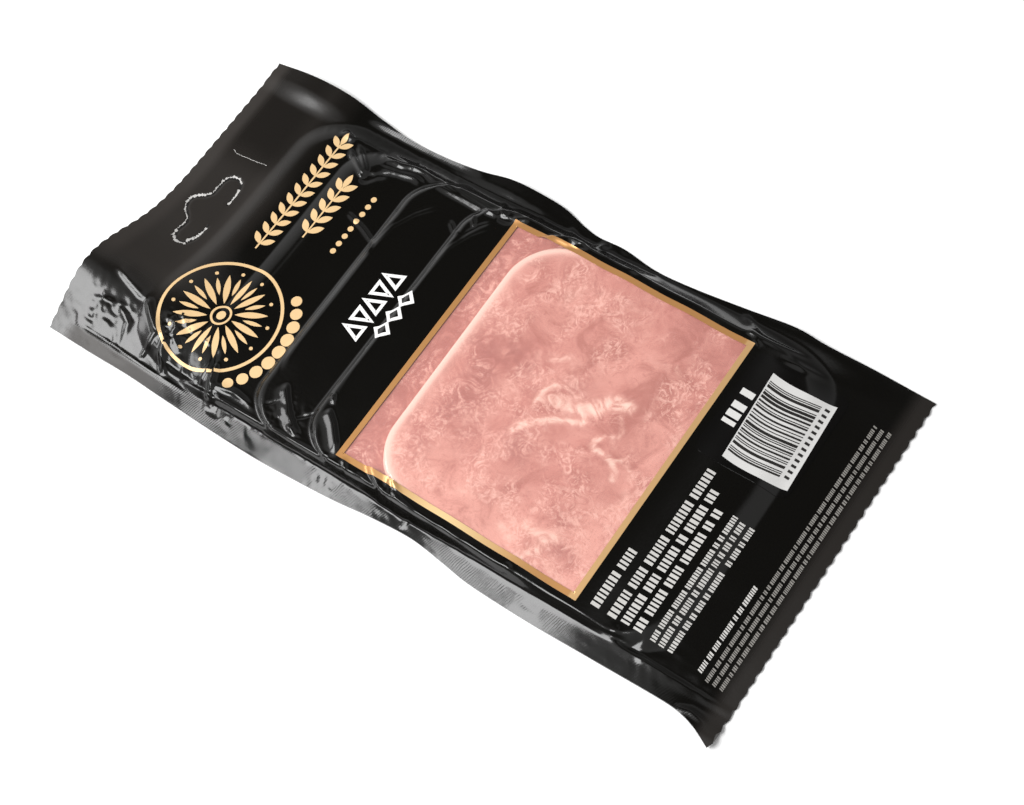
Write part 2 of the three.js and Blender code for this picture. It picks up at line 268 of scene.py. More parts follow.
# Each fold: height, reach on its left, reach on its right, share of taper at its start and end,
# and its line. A reach is the bell curve's, and a height below 0 is a crease.
FOLDS = [
    # the curled corner, crumpled where it was bent
    (0.8, 4.0, 1.0, 0.3, 0.3, [(-129, -32.5), (-121, -35), (-115, -36.5), (-110, -36)]),
    (1.3, 1.6, 0.9, 0.2, 0.3, [(-113, -36), (-107, -41), (-103, -44), (-98, -44.5)]),
    (0.8, 0.6, 0.6, 0.2, 0.2, [(-102, -44), (-102.3, -49), (-102.5, -55)]),
    (1.3, 1.0, 1.4, 0.2, 0.3, [(-98, -43), (-96.5, -48), (-94, -52), (-91, -56)]),
    (1.1, 0.8, 1.5, 0.2, 0.3, [(-77, -42), (-74, -48), (-72, -53), (-69, -57)]),
    (0.6, 0.5, 0.5, 0.3, 0.3, [(-78.5, -42), (-78, -47), (-77.5, -53)]),
    (-0.6, 0.7, 0.7, 0.3, 0.3, [(-79.5, -38), (-77.5, -43), (-76, -48)]),
    (0.7, 0.7, 0.7, 0.3, 0.3, [(-98, -36), (-97, -40), (-97, -44)]),
    (0.7, 0.5, 1.5, 0.3, 0.3, [(-101, -36.5), (-98, -38.5), (-95, -41)]),
    (0.6, 0.4, 1.2, 0.3, 0.3, [(-99.5, -33.5), (-96.5, -35), (-93.5, -37.5)]),
    (0.7, 0.4, 1.5, 0.3, 0.3, [(-97, -41.5), (-94, -43.5), (-90, -46)]),
    (-0.7, 0.8, 0.8, 0.4, 0.4, [(-95.5, -37.5), (-93, -38.8), (-90.5, -39)]),
    (0.9, 1.3, 0.7, 0.5, 0.5, [(-76, -50), (-65, -48.3), (-59, -48.8), (-53, -50)]),
    (0.5, 0.7, 0.7, 0.4, 0.4, [(-87, -37), (-84, -38), (-82, -39)]),
    (0.35, 0.5, 0.5, 0.3, 0.3, [(-131, -56.3), (-115, -56), (-98, -56.3), (-76, -56.2)]),
    (0.6, 1.2, 1.2, 0.3, 0.3, [(-131, -47), (-124, -45), (-118, -44), (-113, -47), (-111, -55)]),
    (-0.5, 1.2, 1.2, 0.3, 0.3, [(-128, -50), (-120, -49), (-115, -51)]),
    (-0.5, 0.6, 0.6, 0.4, 0.4, [(-121, -44.5), (-118, -43.6), (-114, -43.8)]),
    (0.3, 0.4, 0.4, 0.3, 0.3, [(-127, -42), (-125.5, -44), (-124.5, -46)]),
    # far side of the first slices, gathered towards one pit
    (0.9, 0.7, 1.8, 0.3, 0.3, [(-99, 57), (-95, 55.3), (-91, 54)]),
    (1.2, 0.8, 1.0, 0.3, 0.1, [(-92, 50.5), (-86, 47.5), (-80, 44), (-77.5, 42.5)]),
    (1.0, 0.7, 1.0, 0.3, 0.1, [(-90, 53.5), (-85, 50), (-80, 46), (-78, 44)]),
    (-1.3, 1.1, 1.4, 0.4, 0.4, [(-79.5, 41), (-77, 43), (-75.5, 45.5)]),
    (-0.5, 0.8, 1.4, 0.2, 0.5, [(-76.5, 43.5), (-74, 46), (-70, 48)]),
    (0.6, 0.8, 1.4, 0.4, 0.3, [(-78, 49), (-70, 49.8), (-62, 51.5), (-56, 50.5)]),
    (0.9, 0.8, 1.6, 0.4, 0.3, [(-82, 54), (-70, 53.5), (-60, 56), (-52, 53)]),
    (0.7, 0.8, 1.2, 0.3, 0.3, [(-58, 56.5), (-50, 54), (-40, 52.5), (-20, 50.8)]),
    (0.5, 0.6, 1.2, 0.3, 0.2, [(-56, 52), (-46, 51.5), (-34, 51), (-21, 50.5)]),
    (-0.9, 0.8, 1.0, 0.3, 0.3, [(-24, 50.5), (-20, 50.6), (-17, 52)]),
    (0.5, 0.7, 1.2, 0.3, 0.1, [(-29, 60), (-24, 54), (-20.5, 51.2)]),
    (0.6, 0.8, 1.2, 0.2, 0.3, [(-19, 51.5), (-15, 54), (-12, 55)]),
    (0.4, 0.7, 0.7, 0.3, 0.3, [(-14, 61), (-12.5, 58), (-12, 55)]),
    (0.4, 0.5, 0.8, 0.2, 0.1, [(-75, 28.5), (-65, 25.5), (-58, 22.5)]),
    (0.45, 0.5, 0.5, 0.3, 0.3, [(-58.5, 23), (-57, 20), (-56.5, 16.5)]),
    (0.4, 0.6, 0.8, 0.3, 0.2, [(-33, 48.5), (-30, 45), (-28, 43)]),
    (0.35, 0.6, 0.8, 0.3, 0.2, [(-39, 42.5), (-35, 39.5), (-31, 38.2)]),
    (-0.4, 0.6, 0.6, 0.3, 0.3, [(-24, 48), (-27.5, 44), (-29.5, 40), (-30, 37)]),
    # far side beside the window
    (0.9, 1.2, 1.6, 0.3, 0.1, [(-4, 62), (2, 58.5), (6, 55.5), (10, 53)]),
    (1.0, 1.0, 1.4, 0.2, 0.1, [(13, 63), (10.5, 60), (9.5, 57), (10.3, 53)]),
    (-0.8, 0.9, 0.9, 0.3, 0.3, [(-1, 50.5), (5, 50.3), (10, 53)]),
    (0.5, 1.4, 1.8, 0.3, 0.3, [(27, 53.5), (31, 57.5), (36, 60.5)]),
    (0.8, 1.0, 1.4, 0.3, 0.3, [(66, 62), (73, 58), (77, 55.5)]),
    (0.7, 0.8, 1.0, 0.3, 0.3, [(70, 56.5), (80, 56.3), (88, 57), (95, 58)]),
    (0.6, 0.8, 1.0, 0.3, 0.3, [(70, 58.5), (75, 55), (79, 51.5)]),
    (-0.5, 0.8, 0.8, 0.3, 0.3, [(74, 56), (76, 53.5), (77, 51)]),
    (0.4, 1.0, 1.4, 0.4, 0.4, [(84, 52.5), (92, 53.5), (104, 54.5)]),
    # near corners of slices 3 and 4: pinched folds along the drape
    (0.95, 0.7, 2.4, 0.15, 0.35, [(-50, -36), (-46, -40.5), (-42, -44.5), (-37, -48), (-31, -50.5)]),
    (0.6, 0.6, 0.6, 0.3, 0.3, [(-40, -49), (-37, -49.5), (-34, -51)]),
    (0.7, 0.6, 0.6, 0.3, 0.3, [(-33, -32.5), (-31, -33), (-29.3, -35.5)]),
    (0.95, 0.6, 2.3, 0.15, 0.3, [(-30, -37), (-24.5, -41), (-19.5, -46), (-16.5, -50.5)]),
    (-0.35, 0.5, 0.5, 0.3, 0.3, [(-31.5, -38), (-35, -42), (-39.5, -46.5)]),
    (-0.3, 0.5, 0.5, 0.3, 0.3, [(-51.5, -47), (-49.5, -45), (-48, -43)]),
    (0.5, 0.8, 1.2, 0.3, 0.3, [(-44, -52), (-36, -52.5), (-22, -52), (-17, -50)]),
    (0.6, 0.6, 0.8, 0.2, 0.3, [(-14, -49), (-12, -51), (-10.5, -53)]),
    (0.5, 0.6, 0.8, 0.3, 0.3, [(-9, -51), (0, -51.8), (7, -52.5)]),
    # near corner of the top slice
    (0.9, 0.6, 0.5, 0.3, 0.3, [(-3, -41), (0, -44), (3.5, -47), (6, -51)]),
    (0.8, 0.6, 0.6, 0.3, 0.3, [(0, -42.5), (4, -46), (7, -48.5), (11, -50.5)]),
    (-0.7, 0.5, 0.5, 0.3, 0.3, [(4, -47), (6.5, -50), (9, -53)]),
    (0.7, 0.7, 0.9, 0.3, 0.3, [(6, -50), (12, -52), (19, -53)]),
    (0.7, 1.0, 0.8, 0.3, 0.4, [(7, -53), (14, -54), (13, -58)]),
    (0.5, 0.8, 0.8, 0.3, 0.3, [(52, -50), (53.5, -52), (55, -53)]),
    # crest and foot of each slice's step
    (0.1, 0.45, 0.5, 0.06, 0.06, [(-53.5, -33), (-54.6, -29), (-55.3, -22),
                                  (-55.2, 0), (-55.6, 20), (-54, 30), (-50, 37.5), (-44, 44)]),
    (-0.14, 0.5, 0.5, 0.06, 0.06, [(-54, -36), (-56.4, -30), (-57.6, -22),
                                    (-57.6, 0), (-58, 20), (-56.3, 31), (-52, 39), (-46, 46)]),
    (0.1, 0.45, 0.5, 0.06, 0.06, [(-28.5, -35.5), (-30, -32), (-31.2, -22),
                                  (-31.2, 20), (-30, 32), (-26.5, 39.5), (-22, 45.5)]),
    (-0.14, 0.5, 0.5, 0.06, 0.06, [(-31, -36), (-32.6, -31), (-33.6, -22),
                                    (-33.5, 20), (-32.4, 32), (-29, 40.5), (-25, 46.5)]),
    (0.05, 0.6, 0.6, 0.1, 0.1, [(-77, -30), (-79.5, -15), (-79.4, 20), (-77.5, 33)]),
    (-0.07, 0.7, 0.7, 0.1, 0.1, [(-80.5, -30), (-82.4, -15), (-82.2, 20), (-80, 34)]),
    # the hanger slot is a cut: a narrow groove with a turned up edge
    (-0.5, 0.6, 0.6, 0.02, 0.02, SLOT),
    # right end
    (0.3, 0.6, 0.6, 0.3, 0.3, [(91, -48), (92, -50), (92.5, -53)]),
    (-0.4, 0.6, 0.6, 0.3, 0.3, [(100, -48), (98.5, -51), (97.5, -53.5)]),
    (0.3, 0.6, 0.6, 0.3, 0.3, [(101, -50), (102.5, -53), (103.5, -55)]),
    (0.5, 0.9, 1.3, 0.3, 0.3, [(118, -61), (124, -59), (131, -60)]),
]
# Where the film lies loose and crinkles: middle, reach, height and cell of the crinkles
CRINKLES = [
    (-121, -50, 12, 9, 0.35, 3.2), (-98, -40, 5, 5, 0.35, 1.6), (-88, -50, 14, 4, 0.25, 3.0),
    (-60, -57, 20, 3.5, 0.24, 3.0), (-20, -57, 24, 3.5, 0.2, 3.2), (50, -57, 24, 3.5, 0.16, 3.6),
    (-70, 55, 26, 5, 0.2, 3.4), (0, 58, 40, 5, 0.16, 4.0), (-42, -46, 7, 5, 0.2, 1.8),
    (112, -52, 22, 9, 0.08, 4.0),
]


HOLLOW = 0.4  # deepest crease


def fold_relief(x, y):
    """Sum of the folds, each a bell curve across its line that tapers off at both ends, and of
    the crinkles, noise under a bell; hollows are held by a hyperbolic tangent above the slices."""
    total = np.zeros(x.shape)
    for height, left, right, taper_in, taper_out, points in FOLDS:
        line = np.array(points, float)
        margin = 3 * max(left, right)
        low, high = line.min(0) - margin, line.max(0) + margin
        near = (x > low[0]) & (x < high[0]) & (y > low[1]) & (y < high[1])
        away, side, along = from_line(points, x[near], y[near])
        taper = smooth(along / taper_in) * smooth((1 - along) / taper_out)
        total[near] += height * taper * bell(away, np.where(side > 0, left, right))
    for seed, (mid_x, mid_y, reach_x, reach_y, height, cell) in enumerate(CRINKLES):
        creased = 1 - 2 * np.sqrt(lattice_noise(x + 0.4 * y, y, cell, seed) ** 2 + 0.03)
        total += height * creased * bell(x - mid_x, reach_x) * bell(y - mid_y, reach_y)
    total += 0.05 * lattice_noise(x, y, 9.0, 50)
    return np.where(total < 0, HOLLOW * np.tanh(total / HOLLOW), total)


# ---------------------------------------------------------------- meshes


def stations(stops, steps, multiple=1):
    """Numbers by way of the stops, in even steps no longer than asked, so many a stretch that
    their number divides by multiple."""
    runs = []
    for start, end, step in zip(stops[:-1], stops[1:], steps):
        count = int(np.ceil((end - start) / step / multiple)) * multiple
        runs.append(np.linspace(start, end, count, endpoint=False))
    return np.concatenate(runs + [[stops[-1]]])


def scalloped(x, y):
    """Moves points near the two cut ends onto the scalloped knife line: depth times the sine of
    the way along a scallop, fading over the scallop run."""
    bite = 1 - np.abs(np.sin(np.pi * y / SCALLOP_PITCH))
    at_start = np.clip(1 - (x - HANGER_END_X) / SCALLOP_RUN, 0, 1)
    at_end = np.clip(1 - (PLAIN_END_X - x) / SCALLOP_RUN, 0, 1)
    return x + bite * (HANGER_SCALLOP_DEPTH * at_start - SCALLOP_DEPTH * at_end)


def web_grid(columns, rows_near, rows_mid, rows_far):
    """The web's grid: straight rows beside the window, spread out to the two wavy long edges."""
    near = near_edge_at(columns)[:, None]
    far = far_edge_at(columns)[:, None]
    t_near = np.linspace(0, 1, rows_near, endpoint=False)[None]
    t_far = np.linspace(0, 1, rows_far + 1)[None]
    middle = np.linspace(WINDOW["near"], WINDOW["far"], rows_mid, endpoint=False)
    y = np.concatenate([
        near + (WINDOW["near"] - near) * t_near,
        np.repeat(middle[None], len(columns), 0),
        WINDOW["far"] + (far - WINDOW["far"]) * t_far,
    ], axis=1)
    x = scalloped(np.repeat(columns[:, None], y.shape[1], 1), y)
    return x, y


ROWS = (24, 184, 24)
FILM_STOPS = [HANGER_END_X, WINDOW["left"], 20.0, WINDOW["right"], PLAIN_END_X]
FILM_COLUMNS = stations(FILM_STOPS, [0.5, 0.7, 1.2, 0.9], 4)
FILM_X, FILM_Y = web_grid(FILM_COLUMNS, *ROWS)
FILM_TOP = front_bottom(FILM_X, FILM_Y) + WEB + fold_relief(FILM_X, FILM_Y)


def film_top(x, y):
    """Top of the front web: the four nearest points of its grid, weighted by closeness."""
    column = np.interp(x, FILM_COLUMNS, np.arange(len(FILM_COLUMNS)))
    near, far = near_edge_at(x), far_edge_at(x)
    row = np.where(
        y < WINDOW["near"],
        ROWS[0] * (y - near) / (WINDOW["near"] - near),
        ROWS[0] + ROWS[1] * (y - WINDOW["near"]) / (WINDOW["far"] - WINDOW["near"]),
    )
    beyond = ROWS[0] + ROWS[1] + ROWS[2] * (y - WINDOW["far"]) / (far - WINDOW["far"])
    row = np.where(y > WINDOW["far"], beyond, row)
    i = np.clip(np.floor(column).astype(int), 0, FILM_TOP.shape[0] - 2)
    j = np.clip(np.floor(row).astype(int), 0, FILM_TOP.shape[1] - 2)
    a, b = np.clip(column - i, 0, 1), np.clip(row - j, 0, 1)
    low = FILM_TOP[i, j] * (1 - a) + FILM_TOP[i + 1, j] * a
    high = FILM_TOP[i, j + 1] * (1 - a) + FILM_TOP[i + 1, j + 1] * a
    return low * (1 - b) + high * b


def make_object(name, parts):
    """One mesh object from parts in the pouch's millimetres: each part is its points, its smooth
    faces and its rim faces, which stay flat shaded between sharp edges."""
    start, places, faces, rims = 0, [], [], []
    for points, smooth_faces, rim_faces in parts:
        places.append(points)
        faces += [[start + n for n in face] for face in smooth_faces]
        rims += [[start + n for n in face] for face in rim_faces]
        start += len(points)
    mesh = bpy.data.meshes.new(name)
    place = (np.concatenate(places) + SHIFT) * MM
    mesh.from_pydata(place.tolist(), [], faces + rims)
    shade = np.ones(len(mesh.polygons), bool)
    shade[len(faces):] = False
    mesh.polygons.foreach_set("use_smooth", shade)
    edge_of = np.zeros(len(mesh.loops), int)
    mesh.loops.foreach_get("edge_index", edge_of)
    sharp = np.zeros(len(mesh.edges), bool)
    sharp[edge_of[sum(len(face) for face in faces):]] = True
    mesh.edges.foreach_set("use_edge_sharp", sharp)
    mesh.update()
    if mesh.validate():
        raise RuntimeError(f"{name} has faces that Blender had to mend")
    made = bpy.data.objects.new(name, mesh)
    bpy.context.scene.collection.objects.link(made)
    return made


def paint(piece, name, field):
    """Stores field, a function of x and y in the pouch's millimetres, on the piece's points."""
    at = np.zeros(len(piece.data.vertices) * 3)
    piece.data.vertices.foreach_get("co", at)
    at = at.reshape(-1, 3) / MM - SHIFT
    made = piece.data.attributes.new(name, "FLOAT", "POINT")
    made.data.foreach_set("value", field(at[:, 0], at[:, 1]).astype(np.float32))


def dress(piece, finish, slot, *nodes):
    """Gives a piece its finish, and lets it stand for its CAD nodes; slot is not used."""
    piece.data.materials.append(finish)
    if nodes:
        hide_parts(*nodes)
    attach(piece, "root")
    return piece


def shell(x, y, top, thickness, coarse=1, keep=None, bottom=None):
    """A closed sheet over a grid. Its top has every grid point; its underside has every coarse
    one, at the lowest top of its surroundings less the thickness, or at bottom. keep marks the
    coarse cells that are there. A rim face joins each coarse cell's open side."""
    m, n = x.shape[0] - 1, x.shape[1] - 1
    mc, nc = m // coarse, n // coarse
    if keep is None:
        keep = np.ones((mc, nc), bool)
    fine = np.repeat(np.repeat(keep, coarse, 0), coarse, 1)
    index = np.arange((m + 1) * (n + 1)).reshape(m + 1, n + 1)
    corners = (index[:-1, :-1], index[1:, :-1], index[1:, 1:], index[:-1, 1:])
    quads = np.stack(corners, -1)[fine]
    xb, yb = x[::coarse, ::coarse], y[::coarse, ::coarse]
    if bottom is None:
        lowest = top
        if coarse > 1:
            padded = np.pad(top, coarse, mode="edge")
            shifts = [(a, b) for a in (0, coarse, 2 * coarse) for b in (0, coarse, 2 * coarse)]
            lowest = np.min([padded[a:a + m + 1, b:b + n + 1] for a, b in shifts], axis=0)
        bottom = lowest[::coarse, ::coarse] - thickness
    under = (np.arange((mc + 1) * (nc + 1)) + index.size).reshape(mc + 1, nc + 1)
    below = np.stack((under[:-1, 1:], under[1:, 1:], under[1:, :-1], under[:-1, :-1]), -1)[keep]
    rims = []
    steps = np.arange(coarse + 1)
    walls = np.pad(keep, 1)
    for di, dj in ((0, -1), (1, 0), (0, 1), (-1, 0)):
        beside = walls[1 + di:1 + di + mc, 1 + dj:1 + dj + nc]
        for i, j in np.argwhere(keep & ~beside):
            fi, fj = i * coarse, j * coarse
            if dj == -1:
                run, ends = index[fi + steps, fj], (under[i, j], under[i + 1, j])
            elif di == 1:
                run, ends = index[fi + coarse, fj + steps], (under[i + 1, j], under[i + 1, j + 1])
            elif dj == 1:
                run = index[fi + steps, fj + coarse][::-1]
                ends = (under[i + 1, j + 1], under[i, j + 1])
            else:
                run = index[fi, fj + steps][::-1]
                ends = (under[i, j + 1], under[i, j])
            rims.append([int(ends[0]), int(ends[1]), *run[::-1].tolist()])
    points = np.concatenate([
        np.stack([x, y, top], -1).reshape(-1, 3),
        np.stack([xb, yb, bottom], -1).reshape(-1, 3),
    ])
    faces = quads.reshape(-1, 4).tolist() + below.reshape(-1, 4).tolist()
    used = np.unique(np.concatenate([np.ravel(faces), *[np.array(r) for r in rims]]))
    renumber = np.full(len(points), -1)
    renumber[used] = np.arange(len(used))
    faces = renumber[np.array(faces)].tolist()
    rims = [renumber[r].tolist() for r in rims]
    return points[used], faces, rims


# ---------------------------------------------------------------- the print's shapes


def resampled(points, step):
    """Points along a line, no further apart than step."""
    line = np.array(points, float)
    runs = np.hypot(*(line[1:] - line[:-1]).T)
    counts = np.maximum(1, np.ceil(runs / step).astype(int))
    pieces = [a + (b - a) * np.linspace(0, 1, n, endpoint=False)[:, None]
              for a, b, n in zip(line[:-1], line[1:], counts)]
    return np.concatenate([*pieces, line[-1:]])


def band(points, half, across=2, closed=False):
    """A band along a line: each cross line stands on the mean of the two directions that meet
    there, lengthened by one over its cosine so that corners stay full."""
    line = np.array(points, float)
    ahead = np.roll(line, -1, 0) - line
    ahead[np.hypot(*ahead.T) < 1e-9] = line[1] - line[0]
    if not closed:
        ahead[-1] = ahead[-2]
    behind = np.roll(ahead, 1, 0)
    if not closed:
        behind[0] = ahead[0]
    else:
        behind[0] = behind[-1] = line[-1] - line[-2]
        ahead[-1] = ahead[0]
    ahead /= np.hypot(*ahead.T)[:, None]
    behind /= np.hypot(*behind.T)[:, None]
    mean = ahead + behind
    mean /= np.hypot(*mean.T)[:, None]
    stretch = 1 / np.maximum(0.3, (mean * ahead).sum(1))
    offset = np.linspace(1, -1, across + 1)[None] * (np.broadcast_to(half, len(line)) * stretch)[:, None]
    return line[:, :1] - mean[:, 1:] * offset, line[:, 1:] + mean[:, :1] * offset


def block(x0, x1, y0, y1, slant=0.0, cells=(2, 1)):
    """A rectangle of cells, whose y slides by slant for each step in x."""
    x, y = np.meshgrid(np.linspace(x0, x1, cells[0] + 1), np.linspace(y0, y1, cells[1] + 1),
                       indexing="ij")
    return x, y + slant * (x - (x0 + x1) / 2)


def disc(mid_x, mid_y, radius, cells=4):
    """A square grid drawn onto a disc: each coordinate times the root of one less half the other
    one's square."""
    t = np.linspace(-1, 1, cells + 1)
    u, v = np.meshgrid(t, t, indexing="ij")
    return mid_x + radius * u * np.sqrt(1 - v * v / 2), mid_y + radius * v * np.sqrt(1 - u * u / 2)


def leaf(x, y, angle, length, half):
    """A leaf from its stalk: a band as wide as the sine of the way along it."""
    t = np.linspace(0, 1, 9)
    line = np.stack([x + np.cos(angle) * length * t, y + np.sin(angle) * length * t], -1)
    return band(line, np.maximum(0.04, half * np.sin(np.pi * t) ** 0.8))


def ring(mid_x, mid_y, radius, half, count=96):
    """A closed round band."""
    t = np.linspace(0, 2 * np.pi, count + 1)
    line = np.stack([mid_x + radius * np.cos(t), mid_y + radius * np.sin(t)], -1)
    return band(line, half, closed=True)


def sprig(mid_x, from_y, to_y, pitch, length, half, lean_and_shade):
    """A straight stem along y with pairs of leaves, and one at its tip."""
    shapes = [band(resampled([(mid_x, from_y), (mid_x, to_y - length * 0.6)], 0.8), 0.32)]
    for y in np.arange(from_y + pitch * 0.5, to_y - length, pitch):
        for side in (-1, 1):
            shapes.append(leaf(mid_x + side * 0.2, y, np.pi / 2 - side * lean_and_shade, length, half))
    shapes.append(leaf(mid_x, to_y - length, np.pi / 2, length, half))
    return shapes


def marks(rng, x0, x1, y0, y1, slant=0.0):
    """A row of plain upright blocks of uneven width in groups of uneven length, along y."""
    height = x1 - x0
    shapes, y = [], y0
    while y < y1 - height * 0.3:
        for _ in range(rng.integers(2, 9)):
            width = height * rng.uniform(0.24, 0.42)
            if y + width > y1:
                break
            shapes.append(block(x0, x1, y, y + width, slant))
            y += width + height * 0.2
        y += height * 0.42
    return shapes


def printed(name, shapes, finish, slot, raised=0.09, thickness=0.07):
    """Closed thin sheets that follow the film's top, one for each shape, in one piece."""
    tops = film_top(np.concatenate([x.ravel() for x, y in shapes]),
                    np.concatenate([y.ravel() for x, y in shapes]))
    ends = np.cumsum([x.size for x, y in shapes])[:-1]
    parts = [shell(x, y, top.reshape(x.shape) + raised, thickness)
             for (x, y), top in zip(shapes, np.split(tops, ends))]
    return dress(make_object(name, parts), finish, slot)


# ---------------------------------------------------------------- materials


def hex_colour(text):
    """An sRGB hex value as linear red, green, blue and full alpha."""
    value = np.array([int(text[n:n + 2], 16) for n in (0, 2, 4)]) / 255
    linear = np.where(value <= 0.04045, value / 12.92, ((value + 0.055) / 1.055) ** 2.4)
    return (*linear.tolist(), 1.0)


def add(tree, kind, sockets=None, **settings):
    """Adds a node with its settings. sockets gives values, or outputs of other nodes to link."""
    made = tree.nodes.new(kind)
    for name, value in settings.items():
        setattr(made, name, value)
    for name, value in (sockets or {}).items():
        if isinstance(value, bpy.types.NodeSocket):
            tree.links.new(value, made.inputs[name])
        else:
            made.inputs[name].default_value = value
    return made


def new_material(name):
    """An empty node material: its node tree and the Principled shader in it."""
    made = bpy.data.materials.new(name)
    made.use_nodes = True
    shader = made.node_tree.nodes["Principled BSDF"]
    return made, made.node_tree, shader


def link(tree, output, socket):
    tree.links.new(output, socket)


def black_film_material():
    """Black printed multilayer film: glossy, near black, with a fine unevenness from the print,
    duller and hatched where the sealing bars pressed it, and lighter brown-grey in the seals,
    partly the film's own tone and partly painted sheen."""
    made, tree, shader = new_material("black_printed_film")
    look = bpy.context.scene.ham_pack_film
    place = add(tree, "ShaderNodeTexCoord").outputs["Object"]
    grain = add(tree, "ShaderNodeTexNoise", {"Vector": place, "Scale": 900.0, "Detail": 4.0})
    turned = add(tree, "ShaderNodeMapping", {"Vector": place, "Rotation": (0, 0, np.radians(20))})
    hatch = add(tree, "ShaderNodeTexWave", {
        "Vector": turned.outputs["Vector"], "Scale": 400.0, "Distortion": 6.0, "Detail": 2.0,
        "Detail Scale": 0.4,
    })
    knurl = add(tree, "ShaderNodeAttribute", attribute_name="knurl").outputs["Fac"]
    pressed = add(tree, "ShaderNodeBump", {
        "Height": hatch.outputs["Fac"], "Strength": knurl, "Distance": 0.00005,
    })
    bump = add(tree, "ShaderNodeBump", {
        "Height": grain.outputs["Fac"], "Strength": 0.15, "Distance": 0.0001,
        "Normal": pressed.outputs["Normal"],
    })
    # The colour lightens towards brown-grey with the seal's field: painted sheen over the film's own tone
    tone = add(tree, "ShaderNodeMix", {
        6: (*look.black, 1), 7: hex_colour("2a2521"),
    }, data_type="RGBA")
    link(tree, tone.outputs[2], shader.inputs["Base Color"])
    dullness_and_sheen = add(tree, "ShaderNodeAttribute", attribute_name="dullness_and_sheen").outputs["Fac"]
    dull = add(tree, "ShaderNodeMapRange", {
        "Value": dullness_and_sheen, "To Min": look.roughness, "To Max": look.seal_roughness,
    })
    link(tree, dull.outputs["Result"], shader.inputs["Roughness"])
    link(tree, dullness_and_sheen, tone.inputs[0])
    shader.inputs["IOR"].default_value = 1.5
    link(tree, bump.outputs["Normal"], shader.inputs["Normal"])
    return made


def clear_film_material():
    """Clear barrier film: lets the slices through and keeps a thin glossy skin."""
    made, tree, shader = new_material("clear_barrier_film")
    shader.inputs["Base Color"].default_value = hex_colour("f4efea")
    shader.inputs["Roughness"].default_value = 0.12
    shader.inputs["IOR"].default_value = 1.5
    shader.inputs["Alpha"].default_value = 0.05
    return made


def ham_material():
    """Cooked pressed ham under film: pink meat of pressed muscles, curled paler fibres, a few red
    spots, and pale fat where the slice's own field says, its outline broken by the fibres; paler
    where the pale field says, partly meat and partly painted light; darker where the lean-and-shade
    field says, which on the lower slices is painted shade; and a painted highlight along the top
    slice's cut edge."""
    made, tree, shader = new_material("cooked_pressed_ham")
    look = bpy.context.scene.ham_pack_ham
    place = add(tree, "ShaderNodeTexCoord").outputs["Object"]
    muscle = add(tree, "ShaderNodeTexNoise", {
        "Vector": place, "Scale": 75.0, "Detail": 4.0, "Roughness": 0.6, "Distortion": 1.2,
    })
    curl = add(tree, "ShaderNodeTexNoise", {
        "Vector": place, "Scale": 130.0, "Detail": 4.0, "Roughness": 0.55, "Distortion": 3.0,
    })
    strand = add(tree, "ShaderNodeTexNoise", {
        "Vector": place, "Scale": 240.0, "Detail": 4.0, "Roughness": 0.6, "Distortion": 4.0,
    })
    cluster = add(tree, "ShaderNodeTexNoise", {"Vector": place, "Scale": 90.0, "Detail": 1.0})
    base = add(tree, "ShaderNodeValToRGB", {"Fac": muscle.outputs["Fac"]})
    base.color_ramp.elements[0].position = 0.36
    base.color_ramp.elements[0].color = hex_colour("b9695c")
    base.color_ramp.elements[1].position = 0.66
    base.color_ramp.elements[1].color = hex_colour("d99183")
    base.color_ramp.elements.new(0.5).color = (*look.pink, 1)
    colour = base.outputs["Color"]
    pale, lean_and_shade, fat, rim = (
        add(tree, "ShaderNodeAttribute", attribute_name=name).outputs["Fac"]
        for name in ("pale", "lean_and_shade", "fat", "rim")
    )
    bunch = add(tree, "ShaderNodeMapRange", {
        "Value": cluster.outputs["Fac"], "From Min": 0.4, "From Max": 0.62,
    }, interpolation_type="SMOOTHSTEP").outputs["Result"]
    mixed = add(tree, "ShaderNodeMath", {
        0: curl.outputs["Fac"], 1: 2.4, 2: -0.55,
    }, operation="MULTIPLY_ADD").outputs["Value"]
    broken = add(tree, "ShaderNodeMath", {0: mixed, 1: fat}, operation="MULTIPLY").outputs["Value"]
    # Each layer: its value, the levels it comes in between, its most, what scales it, its colour
    layers = [
        (muscle.outputs["Fac"], 0.2, 0.6, 0.75, pale, "e9a394"),
        (curl.outputs["Fac"], 0.5, 0.62, 0.6, bunch, "efb2a3"),
        (strand.outputs["Fac"], 0.5, 0.62, 0.6, bunch, "f3baab"),
        (strand.outputs["Fac"], 0.46, 0.32, 0.45, 1.0, "b8665a"),
        # darker lean meat on the top slice, and painted shade over the lower slices
        (curl.outputs["Fac"], 0.75, 0.3, 1.0, lean_and_shade, "b06157"),
        (broken, 0.04, 0.55, 0.8, 1.0, "efb3a3"),
        (broken, 0.3, 0.95, 0.85, 1.0, "f9d8c7"),
        # painted highlight along the top slice's cut edge
        (rim, 0.0, 1.0, 1.0, 1.0, "fbc9b9"),
    ]
    for value, low, high, most, scale, other in layers:
        share = add(tree, "ShaderNodeMapRange", {
            "Value": value, "From Min": low, "From Max": high, "To Max": most,
        }, interpolation_type="SMOOTHSTEP").outputs["Result"]
        amount = add(tree, "ShaderNodeMath", {0: share, 1: scale}, operation="MULTIPLY")
        colour = add(tree, "ShaderNodeMix", {
            0: amount.outputs["Value"], 6: colour, 7: hex_colour(other),
        }, data_type="RGBA").outputs[2]
    link(tree, colour, shader.inputs["Base Color"])
    bump = add(tree, "ShaderNodeBump", {
        "Height": strand.outputs["Fac"], "Strength": 0.3, "Distance": 0.0002,
    })
    link(tree, bump.outputs["Normal"], shader.inputs["Normal"])
    shader.inputs["Roughness"].default_value = 0.5
    shader.inputs["IOR"].default_value = 1.38
    shader.inputs["Coat Weight"].default_value = 0.8
    shader.inputs["Coat Roughness"].default_value = 0.1
    return made


def label_material():
    """Black coated label paper with a glossy face."""
    made, tree, shader = new_material("black_coated_label")
    shader.inputs["Base Color"].default_value = hex_colour("0b0a09")
    shader.inputs["Roughness"].default_value = 0.15
    return made


